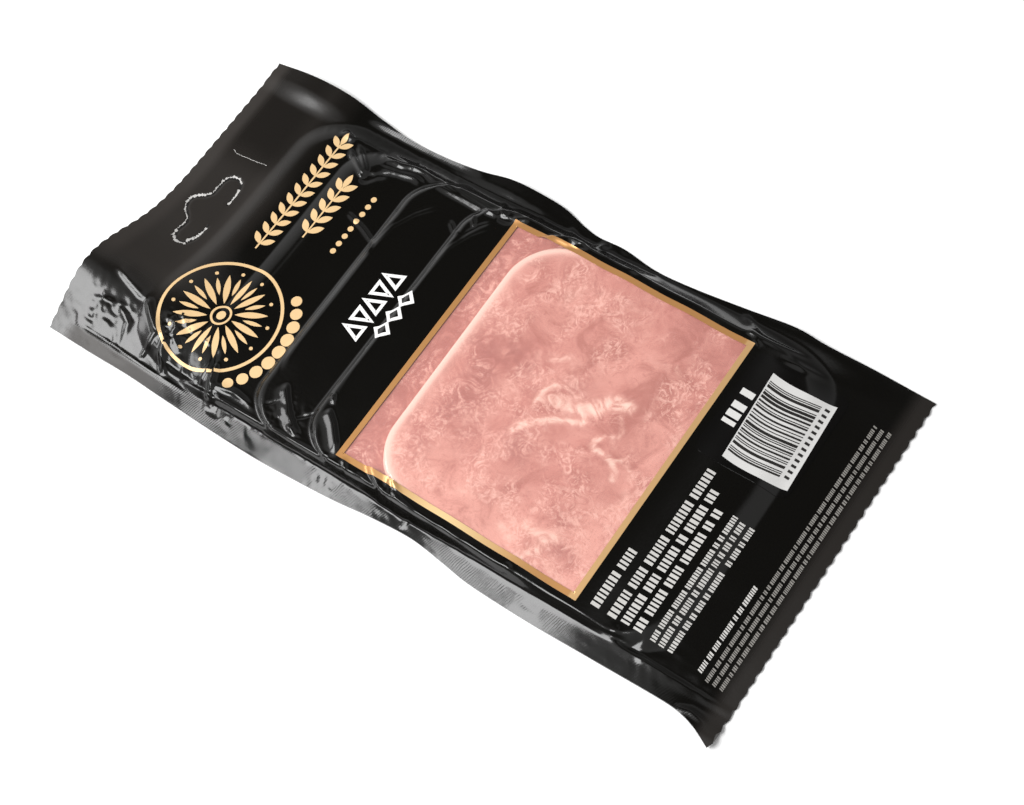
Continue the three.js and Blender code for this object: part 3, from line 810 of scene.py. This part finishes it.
def ink_material(name, colour, roughness, metallic=0.0, highlight_colour=None):
    """Reverse-printed ink under the glossy film: even colour with a faint mottle, and a brighter
    colour, a painted highlight, where the piece's own field says."""
    made, tree, shader = new_material(name)
    place = add(tree, "ShaderNodeTexCoord").outputs["Object"]
    mottle = add(tree, "ShaderNodeTexNoise", {"Vector": place, "Scale": 2500.0, "Detail": 2.0})
    tone = add(tree, "ShaderNodeMapRange", {
        "Value": mottle.outputs["Fac"], "From Min": 0.3, "From Max": 0.7, "To Min": 0.95, "To Max": 1.0,
    })
    mixed = add(tree, "ShaderNodeMix", {
        0: tone.outputs["Result"], 6: hex_colour("4a3a28"), 7: hex_colour(colour),
    }, data_type="RGBA")
    if highlight_colour:
        painted_highlight = add(tree, "ShaderNodeAttribute", attribute_name="painted_highlight").outputs["Fac"]
        mixed = add(tree, "ShaderNodeMix", {
            0: painted_highlight, 6: mixed.outputs[2], 7: hex_colour(highlight_colour),
        }, data_type="RGBA")
    link(tree, mixed.outputs[2], shader.inputs["Base Color"])
    shader.inputs["Roughness"].default_value = roughness
    shader.inputs["Metallic"].default_value = metallic
    return made


def floor_material():
    """Matt white studio board."""
    made, tree, shader = new_material("white_studio_board")
    shader.inputs["Base Color"].default_value = hex_colour("ffffff")
    shader.inputs["Roughness"].default_value = 0.9
    shader.inputs["Specular IOR Level"].default_value = 0.0
    return made


EMBLEM = (-87.2, -27.4)
WHITE_ROWS = [
    (81, 84, -47.5, -26), (87, 90, -47.5, 9.5), (91.5, 94.5, -47, 3.5), (96, 99, -47, -0.5),
    (102, 103.8, -47, -0.5), (104.8, 106.7, -47, -0.5), (108, 109.8, -47, -17.5), (108, 109.8, -15, 0),
]
FINE_ROWS = [(122.5, 123.8), (125.0, 126.3), (127.5, 128.8)]

# A black card hangs where the flat film mirrors the camera, as in a product studio
DARK_CARD = {"middle": (-0.33, 0.30, 0.90), "shrink": (2.6, 6.5, 0.0)}


# ---------------------------------------------------------------- settings


class HamPackFilm(bpy.types.PropertyGroup):
    black: FloatVectorProperty(
        name="Black print", description="Colour of the printed film", subtype="COLOR",
        default=hex_colour("0b0a08")[:3], min=0, max=1)
    roughness: FloatProperty(
        name="Roughness", description="Roughness of the printed film", subtype="FACTOR",
        default=0.15, min=0, max=1)
    seal_roughness: FloatProperty(
        name="Seal roughness", description="Roughness of the film in the heat seals",
        subtype="FACTOR", default=0.46, min=0, max=1)


class HamPackHam(bpy.types.PropertyGroup):
    pink: FloatVectorProperty(
        name="Meat", description="Colour of the meat", subtype="COLOR",
        default=hex_colour("cc7f72")[:3], min=0, max=1)


class HamPackStage(bpy.types.PropertyGroup):
    lens: FloatProperty(
        name="Lens", description="Focal length on a 36 mm wide sensor", subtype="DISTANCE_CAMERA",
        default=63.35, min=1)


# ---------------------------------------------------------------- operators


# How dull the heat seal left the film along the hanger end, which also lightens its colour as painted sheen: x and
# share
HANGER_DULLNESS_AND_SHEEN = [
    (-138.5, 1.0), (-134.5, 0.95), (-131, 0.62), (-117, 0.6), (-111, 0.8), (-107, 0.45),
    (-103, 0.3), (-98, 0.0),
]


def seal_dullness_and_sheen(x, y):
    """How dull the film is, and how far its colour is lightened as painted sheen: the stations at the
    hanger end but for its curled corner, less towards its far corner, half at the plain end, and
    most of it in the near seal's outer strip."""
    stops, shares = zip(*HANGER_DULLNESS_AND_SHEEN)
    far_corner = smooth((y - 20) / 18) * smooth((x + 136) / 5)
    across = (0.12 + 0.88 * smooth((y + 38) / 14)) * (1 - 0.5 * far_corner)
    at_hanger = np.interp(x, stops, shares) * across
    at_plain = 0.5 * smooth((x - 126) / 6)
    strip = smooth((-56.5 - y) / 1.5) * smooth((-80 - x) / 24) * smooth((x + 134) / 6)
    return np.maximum(np.maximum(at_hanger, at_plain), strip)


def seal_knurl(x, y):
    """How deep the sealing bars' hatching is: patches of noise along the near seal, at the curled
    corner and, fainter, along the far seal."""
    patches = smooth(0.4 + 1.2 * lattice_noise(x, y, 9.0, 61))
    near = smooth((-54.5 - y) / 2)
    corner = smooth((-129 - x) / 4) * smooth((-40 - y) / 4)
    far = 0.5 * smooth((y - 62.5) / 2)
    return np.maximum(np.maximum(near, corner), far) * (0.15 + 0.85 * patches)


class HAMPACK_OT_back_web(bpy.types.Operator):
    """Adds the back web of black film"""

    bl_idname = "ham_pack.back_web"
    bl_label = "Back web"

    def execute(self, context):
        columns = stations([HANGER_END_X, CURL["start"], PLAIN_END_X], [1.2, 1.8])
        x, y = web_grid(columns, 8, 56, 8)
        web = make_object("pouch_back", [shell(x, y, lift(x, y) + WEB, WEB)])
        paint(web, "dullness_and_sheen", seal_dullness_and_sheen)
        dress(web, black_film_material(), "black_film", "film_back")
        return {"FINISHED"}


class HAMPACK_OT_front_web(bpy.types.Operator):
    """Adds the front web with its folds and its window opening"""

    bl_idname = "ham_pack.front_web"
    bl_label = "Front web"

    def execute(self, context):
        x, y = FILM_X, FILM_Y
        middle_x = (x[:-4:4, ::4] + x[4::4, ::4])[:, :-1] / 2
        middle_y = (y[::4, :-4:4] + y[::4, 4::4])[:-1] / 2
        in_x = (middle_x > WINDOW["left"]) & (middle_x < WINDOW["right"])
        in_y = (middle_y > WINDOW["near"]) & (middle_y < WINDOW["far"])
        sheet = shell(x, y, FILM_TOP, WEB, 4, ~(in_x & in_y))
        web = make_object("pouch_front", [sheet])
        paint(web, "dullness_and_sheen", seal_dullness_and_sheen)
        paint(web, "knurl", seal_knurl)
        dress(web, black_film_material(), "black_film", "film_front")
        return {"FINISHED"}


class HAMPACK_OT_window_pane(bpy.types.Operator):
    """Adds the clear window over the top slices"""

    bl_idname = "ham_pack.window_pane"
    bl_label = "Window pane"

    def execute(self, context):
        xs = stations([WINDOW["left"], 20.0, WINDOW["right"]], [0.6, 1.2])
        ys = stations([WINDOW["near"], WINDOW["far"]], [0.8])
        x, y = np.meshgrid(xs, ys, indexing="ij")
        pane = make_object("pouch_window", [shell(x, y, film_top(x, y), WEB)])
        dress(pane, clear_film_material(), "clear_film", "window_film")
        return {"FINISHED"}


# Pale fat and darker lean in the top slice: strength, reach, and the line it follows
FAT = [
    (1.0, 3.0, [(44, 5), (46, 8), (50, 12), (54, 13)]),
    (0.95, 2.6, [(38, 3), (43, 4.5), (47, 7)]),
    (0.8, 2.6, [(30, 2), (34, 3), (39, 3)]),
    (0.9, 1.6, [(28, -12.5), (30, -9), (33, -6), (37, -3), (41, -0.5), (45, 1)]),
    (0.75, 1.0, [(29.5, -5), (28.5, -1), (28.6, 4), (30.5, 7.5)]),
    (0.65, 0.9, [(30.5, 7.5), (34, 8.5), (38, 7.5), (42, 8)]),
    (0.6, 1.4, [(33, 5), (38, 5.5), (43, 7)]),
    (0.8, 1.3, [(53.5, 0), (52.0, -2.5), (53.6, -5), (57, -4.4), (60, -5), (63, -7.5), (64, -10)]),
    (0.5, 1.1, [(56, 2), (58.5, -1), (58, 5), (54.5, 9)]),
    (0.55, 1.2, [(61, -4), (64, -3), (67, -5)]),
    (0.7, 2.4, [(50, -37), (55, -37.5), (60, -36)]),
    (0.7, 2.0, [(58, -38), (57, -43), (53.5, -47)]),
    (0.55, 2.2, [(43, -41), (48, -43.5)]),
    (0.5, 1.8, [(63, -44), (67, -46)]),
    (0.5, 2.4, [(25, 15), (30, 17.5), (33, 16)]),
    (0.4, 1.5, [(12, -16), (13.5, -19)]),
    (0.4, 3.0, [(30, -37), (25, -39)]),
    (0.4, 1.3, [(69, 20), (73, 14), (74, 7)]),
    (0.35, 1.2, [(63, -28), (66, -33), (69, -36)]),
    (0.35, 3.0, [(18, 38), (14, 37), (17, 34)]),
    (0.35, 2.0, [(40, 44), (34, 43), (30, 45)]),
    (0.35, 1.2, [(19, 9), (22, 6.5), (26, 9)]),
    (0.35, 2.5, [(70, -12), (72, -18), (66, -20)]),
    (0.35, 1.6, [(54, 30), (60, 33), (64, 30)]),
]
LEAN = [
    (1.0, 6.0, [(12, 10), (17, 9)]),
    (1.0, 6.0, [(2, 8), (7, 3), (9, -6), (7, -18)]),
    (0.9, 4.5, [(30, -15), (34, -18)]),
    (0.5, 6.0, [(14, -16), (17, -24)]),
    (0.6, 4.5, [(3, -30), (6, -34)]),
    (0.7, 3.2, [(62, -38), (66, -38)]),
    (0.5, 3.0, [(57, -29), (60, -30)]),
    (0.5, 1.4, [(45, 0), (48, 0)]),
    (0.5, 3.5, [(35, 9.5), (40, 11)]),
    (0.4, 2.0, [(26, 3), (24, 1)]),
    (0.5, 2.5, [(21, 44), (23, 43)]),
    (0.4, 6.0, [(55, 45), (68, 40)]),
    (0.3, 5.0, [(0, 14), (2, 20)]),
    (0.4, 1.2, [(45, -28), (43, -28.5)]),
    (0.4, 0.9, [(17, 32), (17.3, 31.5)]),
    (0.35, 0.8, [(24.5, 28.5), (24.8, 28)]),
]


# Paler meat, and along the top slice's near side a broad lighter band that is painted light: strength, reach, and
# the line it lies along
PALE = [
    # painted light: the top slice's near side made lighter, where the light falls on it
    (1.0, 12.0, [(14, -42), (40, -44), (74, -46)]),
    (0.8, 10.0, [(70, -42), (68, -30), (72, -12), (70, 12)]),
    (0.3, 7.0, [(14, -24), (22, -18)]),
    (0.6, 8.0, [(36, 22), (50, 26), (62, 22)]),
    (0.7, 6.0, [(16, 27), (24, 34), (20, 40)]),
    (0.6, 4.0, [(38, 12), (30, 11)]),
]


def meat_field(lines, x, y):
    """The strongest of the bells round the lines, at their strengths."""
    field = np.zeros(x.shape)
    for strength, reach, points in lines:
        away, _, _ = from_line(points, x, y)
        field = np.maximum(field, strength * bell(away, reach))
    return field


def lean_out(k, u):
    """How far the top slice's end leans out: full at the end, smoothly down to none."""
    return TOP_SLICE_LEAN * smooth((-u - 26) / 22) if k == SLICE_COUNT - 1 else 0 * u


def from_edge(k, x, y):
    """Distance inward from slice k's rounded outline."""
    u, v = to_slice(k, x, y)
    u = u + lean_out(k, u)
    straight = SLICE_SIDE / 2 - SLICE_CORNER
    a, b = np.maximum(0, np.abs(u) - straight), np.maximum(0, np.abs(v) - straight)
    square = SLICE_SIDE / 2 - np.maximum(np.abs(u), np.abs(v))
    return np.where((a > 0) & (b > 0), SLICE_CORNER - np.hypot(a, b), square)


def rim_painted_highlight(x, y):
    """The top slice's cut edge, paler where it turns down as a painted highlight: a bell 1.3 mm in
    from it, with a wider and weaker one behind it."""
    inside = from_edge(SLICE_COUNT - 1, x, y)
    pale = 0.75 * bell(inside - 1.3, 1.6) + 0.3 * bell(inside - 2.5, 4.5)
    return pale * smooth((24 - x) / 22)


class HAMPACK_OT_slices(bpy.types.Operator):
    """Adds the five shingled slices of ham"""

    bl_idname = "ham_pack.slices"
    bl_label = "Ham slices"

    def execute(self, context):
        finish = ham_material()
        for k in range(SLICE_COUNT):
            step = 0.8 if k > 2 else 2.5
            half = SLICE_SIDE / 2
            straight = half - SLICE_CORNER
            count = int(SLICE_SIDE / step)
            u = np.linspace(-half, half, count + 1)
            into = np.maximum(0, np.abs(u) - straight)
            reach = straight + np.sqrt(np.maximum(0, SLICE_CORNER**2 - into**2))
            v = reach[:, None] * np.linspace(-1, 1, count + 1)[None]
            u = np.repeat(u[:, None], count + 1, 1)
            x, y = from_slice(k, u - lean_out(k, u), v)
            bottom = slice_bottom(k, x, y)
            inside = from_edge(k, x, y)
            inside = np.clip(inside, 0, SLICE_THICKNESS * 0.9)
            r = SLICE_THICKNESS * 0.9
            drop = r - np.sqrt(np.maximum(0, r * r - (r - inside) ** 2))
            top = bottom + SLICE_THICKNESS - drop
            piece = make_object(f"slice_{k + 1}", [shell(x, y, top, 0, bottom=bottom)])
            upper = 1.0 if k == SLICE_COUNT - 1 else 0.0
            paint(piece, "fat", lambda x, y: meat_field(FAT, x, y) * upper)
            paint(piece, "pale", lambda x, y: meat_field(PALE, x, y) * upper)
            # The top slice's rim gets a painted highlight
            paint(piece, "rim", lambda x, y: rim_painted_highlight(x, y) * upper)
            # The lower slices take the darker colour all over: painted shade, as they lie lower under the film
            paint(piece, "lean_and_shade", lambda x, y: meat_field(LEAN, x, y) * upper + 0.85 * (1 - upper))
            dress(piece, finish, "ham", f"ham_slice_{k + 1}")
        return {"FINISHED"}


class HAMPACK_OT_label(bpy.types.Operator):
    """Adds the stuck label beside the window"""

    bl_idname = "ham_pack.label"
    bl_label = "Label"

    def execute(self, context):
        xs = stations([LABEL["left"], LABEL["right"]], [0.7])
        into = np.maximum(0, np.maximum(LABEL["left"] + LABEL["corner"] - xs,
                                        xs - LABEL["right"] + LABEL["corner"]))
        inset = LABEL["corner"] - np.sqrt(LABEL["corner"] ** 2 - into**2)
        t = np.linspace(0, 1, 57)[None]
        near, far = (LABEL["near"] + inset)[:, None], (LABEL["far"] - inset)[:, None]
        y = near + (far - near) * t
        x = np.repeat(xs[:, None], y.shape[1], 1)
        piece = make_object("stuck_label", [shell(x, y, film_top(x, y) + 0.22, 0.14)])
        dress(piece, label_material(), "label", "label")
        return {"FINISHED"}


def border_painted_highlight(x, y):
    """Where the window's border is brighter, a painted highlight: the middle of its near side and, less, its right.
    """
    return np.where(y < -46, 0.85 * bell(x - 28, 20), 0) + np.where(x > 74, 0.35, 0)


class HAMPACK_OT_gold_print(bpy.types.Operator):
    """Adds the gold print: a round ornament, two leaf sprigs, small marks and the window's border"""

    bl_idname = "ham_pack.gold_print"
    bl_label = "Gold print"

    def execute(self, context):
        mid_x, mid_y = EMBLEM
        shapes = [ring(mid_x, mid_y, 21.4, 0.6)]
        for n, angle in enumerate(np.linspace(0, 2 * np.pi, 24, endpoint=False)):
            start, length, half = (5.0, 11.5, 1.15) if n % 2 == 0 else (8.5, 7.0, 0.75)
            shapes.append(leaf(mid_x + start * np.cos(angle), mid_y + start * np.sin(angle),
                               angle, length, half))
            if n % 2:
                shapes.append(disc(mid_x + 17.6 * np.cos(angle), mid_y + 17.6 * np.sin(angle), 0.7, 2))
        shapes.append(ring(mid_x, mid_y, 3.6, 0.4, 32))
        shapes.append(disc(mid_x, mid_y, 1.8))
        for angle in np.radians(np.linspace(-46, 43, 9)):
            size = 1.5 + 1.0 * np.cos(angle * 1.4)
            shapes.append(disc(mid_x + 26.4 * np.cos(angle), mid_y + 26.4 * np.sin(angle), size))
        shapes += sprig(-95.3, 0.5, 55.5, 4.6, 5.4, 1.15, 0.85)
        shapes += sprig(-82.3, 12.0, 41.5, 4.9, 6.2, 1.3, 0.8)
        for y in np.arange(13.0, 40.0, 3.4):
            shapes.append(disc(-69.2, y, 1.1))
        gold = ink_material("pale_gold_ink", "ecc894", 0.36, 0.2)
        printed("print_gold", shapes, gold, "black_film")
        frame_line = resampled([
            (WINDOW["left"] + 0.9, WINDOW["near"] + 0.5), (WINDOW["right"] - 0.2, WINDOW["near"] + 0.7),
            (WINDOW["right"] - 0.2, WINDOW["far"] - 0.7), (WINDOW["left"] + 0.9, WINDOW["far"] - 1.2),
            (WINDOW["left"] + 0.9, WINDOW["near"] + 0.5),
        ], 0.7)
        # The border turns paler gold where its painted-highlight field says
        border = ink_material("window_gold_ink", "c89259", 0.34, 0.45, "ffdfa6")
        edging = printed("window_border", [band(frame_line, 1.0, 4, True)], border, "black_film", 0.12, 0.08)
        paint(edging, "painted_highlight", border_painted_highlight)
        return {"FINISHED"}


# Torn, whitened edges of the slot and a few scuffs: half-width and line
BURRS = [
    (0.6, [(-116.9, 10.2), (-116.9, 14), (-117.4, 17.4)]),
    (0.42, [(-118.2, 19.6), (-120.2, 20.9), (-122.4, 20.6), (-124.2, 19.2), (-125, 17)]),
    (0.3, [(-125, 17), (-125.1, 14), (-125, 11.5)]),
    (0.62, [(-125.2, 11), (-127, 8.9), (-129.6, 7.2), (-130.7, 5.5)]),
    (0.34, [(-130.7, 5.5), (-130.4, 2.5), (-128.8, 0.2), (-126, -1.6)]),
    (0.22, [(-126, -1.6), (-125, -4), (-125.2, -7.5)]),
    (0.6, [(-125.2, -7.8), (-124.4, -10.4), (-122.4, -11.9), (-120.2, -11.9), (-118.4, -11)]),
    (0.75, [(-119.1, -9.9), (-117.6, -7.4), (-117, -4), (-117.1, -1.5)]),
    (0.14, [(-130, 29.6), (-128, 28.8), (-124, 29.2), (-119, 29.8), (-115, 30.3)]),
]


class HAMPACK_OT_hanger_slot(bpy.types.Operator):
    """Adds the hanger slot's cut line, a dark band of painted shadow, and its torn, whitened edges"""

    bl_idname = "ham_pack.hanger_slot"
    bl_label = "Hanger slot"

    def execute(self, context):
        rng = np.random.default_rng(11)
        cut = resampled(SLOT, 0.5)
        # The cut is drawn as a near-black matt band: painted shadow in the cut
        dark = ink_material("shadowed_cut", "040404", 0.9)
        printed("slot_cut_shadow", [band(cut, 0.28 + 0.08 * rng.uniform(-1, 1, len(cut)))], dark, "black_film",
                0.06, 0.05)
        torn = []
        for half, points in BURRS:
            line = resampled(points, 0.3)
            ragged = half * (0.55 + 0.45 * rng.uniform(-1, 1, len(line)))
            line[1:-1] += rng.uniform(-0.16, 0.16, (len(line) - 2, 2))
            torn.append(band(line, np.maximum(0.04, ragged)))
        pale = ink_material("stress_whitened_film", "bfbdba", 0.4)
        printed("slot_burrs", torn, pale, "black_film", 0.16, 0.06)
        return {"FINISHED"}


class HAMPACK_OT_white_print(bpy.types.Operator):
    """Adds the white and grey print: plain shapes and rows of plain blocks"""

    bl_idname = "ham_pack.white_print"
    bl_label = "White and grey print"

    def execute(self, context):
        shapes = []
        for n, y in enumerate(np.linspace(-9.0, 13.5, 5)):
            tip, foot = (-45.5, -39.0) if n % 2 == 0 else (-39.0, -45.5)
            corners = [(foot, y - 2.5), (foot, y + 2.5), (tip, y), (foot, y - 2.5)]
            shapes.append(band(resampled(corners, 0.6), 0.6, 2, True))
        for y in (-4.8, 2.0, 8.8):
            corners = [(-32.4, y - 2.9), (-29.4, y), (-32.4, y + 2.9), (-35.6, y), (-32.4, y - 2.9)]
            shapes.append(band(resampled(corners, 0.6), 0.6, 2, True))
        white = ink_material("white_ink", "f4f3f1", 0.35)
        printed("print_white", shapes, white, "black_film")
        rng = np.random.default_rng(7)
        rows = []
        for x0, x1, y0, y1 in WHITE_ROWS:
            rows += marks(rng, x0, x1, y0, y1)
        rows += marks(rng, 119.0, 120.6, -47.5, -15, -0.25)
        soft_white = ink_material("soft_white_ink", "c8c6c2", 0.4)
        printed("print_rows", rows, soft_white, "black_film")
        fine = []
        for x0, x1 in FINE_ROWS:
            fine += marks(rng, x0, x1, -49.0, 48.0, -0.25)
        grey = ink_material("grey_ink", "85827d", 0.45)
        printed("print_fine_rows", fine, grey, "black_film")
        return {"FINISHED"}


class HAMPACK_OT_label_print(bpy.types.Operator):
    """Adds the label's silver panel with its bars, and the plain blocks beside it"""

    bl_idname = "ham_pack.label_print"
    bl_label = "Label print"

    def execute(self, context):
        s, t = np.meshgrid(np.linspace(0, 1, 30), np.linspace(0, 1, 40), indexing="ij")
        near = np.array([88.5, 14.5]) * (1 - s[..., None]) + np.array([111.3, 15.3]) * s[..., None]
        far = np.array([87.0, 47.0]) * (1 - s[..., None]) + np.array([109.8, 47.5]) * s[..., None]
        at = near * (1 - t[..., None]) + far * t[..., None]
        sag = 1.0 * (1 - (2 * s - 1) ** 2)
        silver = ink_material("silver_white_ink", "d2d1cf", 0.4)
        panel = [(at[..., 0], at[..., 1] - sag)]
        printed("label_panel", panel, silver, "label", 0.31, 0.08)
        rng = np.random.default_rng(3)
        bars, y = [], 17.2
        while y < 44.8:
            width = 0.33 * rng.choice([1, 1, 1, 2, 2, 3])
            x = np.linspace(88.8, 107.0, 16)[:, None] + np.zeros((1, 2))
            share = (x - 88.8) / 18.2
            middle = y - 1.0 * (1 - (2 * share - 1) ** 2) + 0.6 * share
            bars.append((x - (y - 17) * 0.045, middle + np.array([[0, width]])))
            y += width + 0.33 * rng.choice([1, 1, 2, 2, 3])
        for y in np.arange(18.5, 44.5, 2.15):
            bars.append(block(108.2 - (y - 17) * 0.045, 109.8 - (y - 17) * 0.045, y, y + 0.9))
        black = ink_material("black_ink", "141210", 0.4)
        printed("label_bars", bars, black, "label", 0.38, 0.06)
        weight = [block(81.8, 86.4, y, y + w, 0, (3, 2)) for y, w in
                  ((24.5, 1.6), (27.0, 2.4), (30.3, 2.4), (35.4, 2.3))]
        printed("label_blocks", weight, ink_material("label_white_ink", "dddcd9", 0.35), "label", 0.31, 0.08)
        return {"FINISHED"}


class HAMPACK_OT_stage(bpy.types.Operator):
    """Adds the floor, the lights and the camera at the photograph's viewing angle"""

    bl_idname = "ham_pack.stage"
    bl_label = "Stage"

    def execute(self, context):
        scene = context.scene
        scene.view_settings.view_transform = "Standard"
        points = np.array([(-1500, -1500, 0), (1500, -1500, 0), (1500, 1500, 0), (-1500, 1500, 0)])
        board = make_object("studio_floor", [(points - SHIFT - (0, 0, 0.02), [[0, 1, 2, 3]], [])])
        board.data.materials.append(floor_material())

        azimuth, elevation, roll = np.radians([55.63, 60.0, -22.85])
        forward = Vector((-np.sin(azimuth) * np.cos(elevation),
                          np.cos(azimuth) * np.cos(elevation), -np.sin(elevation)))
        level = forward.cross(Vector((0, 0, 1))).normalized()
        upright = level.cross(forward)
        right = level * np.cos(roll) + upright * np.sin(roll)
        up = right.cross(forward)
        camera_data = bpy.data.cameras.new("camera")
        camera_data.lens = scene.ham_pack_stage.lens
        camera_data.clip_start = 0.05
        camera = bpy.data.objects.new("camera", camera_data)
        scene.collection.objects.link(camera)
        turn = Matrix((right, up, -forward)).transposed().to_4x4()
        spot = (Vector((259.9, -167.7, 507.8)) + Vector(SHIFT)) * MM
        camera.matrix_world = Matrix.Translation(spot) @ turn
        scene.camera = camera

        world = bpy.data.worlds.new("studio")
        scene.world = world
        world.use_nodes = True
        tree = world.node_tree
        sky = add(tree, "ShaderNodeTexCoord").outputs["Generated"]
        height = add(tree, "ShaderNodeSeparateXYZ", {"Vector": sky}).outputs["Z"]
        walls = add(tree, "ShaderNodeMapRange", {
            "Value": height, "From Min": 0.05, "From Max": 0.6, "To Min": 1.2, "To Max": 0.5,
        }, interpolation_type="SMOOTHSTEP")
        beside = add(tree, "ShaderNodeVectorMath", {0: sky, 1: DARK_CARD["middle"]},
                     operation="SUBTRACT")
        shares = add(tree, "ShaderNodeVectorMath", {
            0: beside.outputs["Vector"], 1: DARK_CARD["shrink"],
        }, operation="MULTIPLY")
        away = add(tree, "ShaderNodeVectorMath", {0: shares.outputs["Vector"]}, operation="LENGTH")
        card = add(tree, "ShaderNodeMapRange", {
            "Value": away.outputs["Value"], "From Min": 0.75, "From Max": 1.35,
            "To Min": 0.05, "To Max": 1.0,
        }, interpolation_type="SMOOTHSTEP")
        lit = add(tree, "ShaderNodeMath", {
            0: walls.outputs["Result"], 1: card.outputs["Result"],
        }, operation="MULTIPLY")
        across = add(tree, "ShaderNodeSeparateXYZ", {"Vector": sky}).outputs["Y"]
        far_side = add(tree, "ShaderNodeMapRange", {
            "Value": across, "From Min": 0.4, "From Max": 0.85, "To Min": 1.0, "To Max": 0.3,
        }, interpolation_type="SMOOTHSTEP")
        near_side = add(tree, "ShaderNodeMapRange", {
            "Value": across, "From Min": -0.6, "From Max": -0.8, "To Min": 1.0, "To Max": 0.2,
        }, interpolation_type="SMOOTHSTEP")
        sides = add(tree, "ShaderNodeMath", {
            0: far_side.outputs["Result"], 1: near_side.outputs["Result"],
        }, operation="MULTIPLY")
        light = add(tree, "ShaderNodeMath", {
            0: lit.outputs["Value"], 1: sides.outputs["Value"],
        }, operation="MULTIPLY")
        background = tree.nodes["Background"]
        background.inputs["Color"].default_value = (1, 1, 1, 1)
        link(tree, light.outputs["Value"], background.inputs["Strength"])
        lamps = [
            ("near_softbox", (-0.28, -0.38, 0.88), 0.8, (0.50, 0.38), 10.5),
            ("side_softbox", (-0.78, -0.28, 0.56), 0.9, (0.30, 0.30), 6.0),
        ]
        for name, toward, distance, size, radiance in lamps:
            data = bpy.data.lights.new(name, "AREA")
            data.shape = "RECTANGLE"
            data.size, data.size_y = size
            data.energy = radiance * np.pi * size[0] * size[1]
            lamp = bpy.data.objects.new(name, data)
            direction = Vector(toward).normalized()
            lamp.location = direction * distance
            side = Vector((1, 0, 0)) - direction * direction.x
            side.normalize()
            turn = Matrix((side, direction.cross(side), direction)).transposed().to_4x4()
            lamp.matrix_world = Matrix.Translation(direction * distance) @ turn
            scene.collection.objects.link(lamp)
        return {"FINISHED"}


class HAMPACK_PT_panel(bpy.types.Panel):
    bl_label = "Ham pack"
    bl_space_type = "VIEW_3D"
    bl_region_type = "UI"
    bl_category = "Ham pack"

    def draw(self, context):
        for group in (context.scene.ham_pack_film, context.scene.ham_pack_ham,
                      context.scene.ham_pack_stage):
            for name in group.__annotations__:
                self.layout.prop(group, name)
        for step in OPERATORS:
            self.layout.operator(step.bl_idname)


GROUPS = {
    "ham_pack_film": HamPackFilm,
    "ham_pack_ham": HamPackHam,
    "ham_pack_stage": HamPackStage,
}
OPERATORS = [
    HAMPACK_OT_back_web, HAMPACK_OT_front_web, HAMPACK_OT_window_pane, HAMPACK_OT_slices,
    HAMPACK_OT_label, HAMPACK_OT_gold_print, HAMPACK_OT_white_print, HAMPACK_OT_label_print,
    HAMPACK_OT_hanger_slot, HAMPACK_OT_stage,
]


def register():
    for kind in (*GROUPS.values(), *OPERATORS, HAMPACK_PT_panel):
        bpy.utils.register_class(kind)
    for name, kind in GROUPS.items():
        setattr(bpy.types.Scene, name, PointerProperty(type=kind))


def unregister():
    for name in GROUPS:
        delattr(bpy.types.Scene, name)
    for kind in (HAMPACK_PT_panel, *OPERATORS, *GROUPS.values()):
        bpy.utils.unregister_class(kind)


def main():
    register()
    for step in OPERATORS:
        group, call = step.bl_idname.split(".")
        getattr(getattr(bpy.ops, group), call)()


if __name__ == "__main__":
    main()
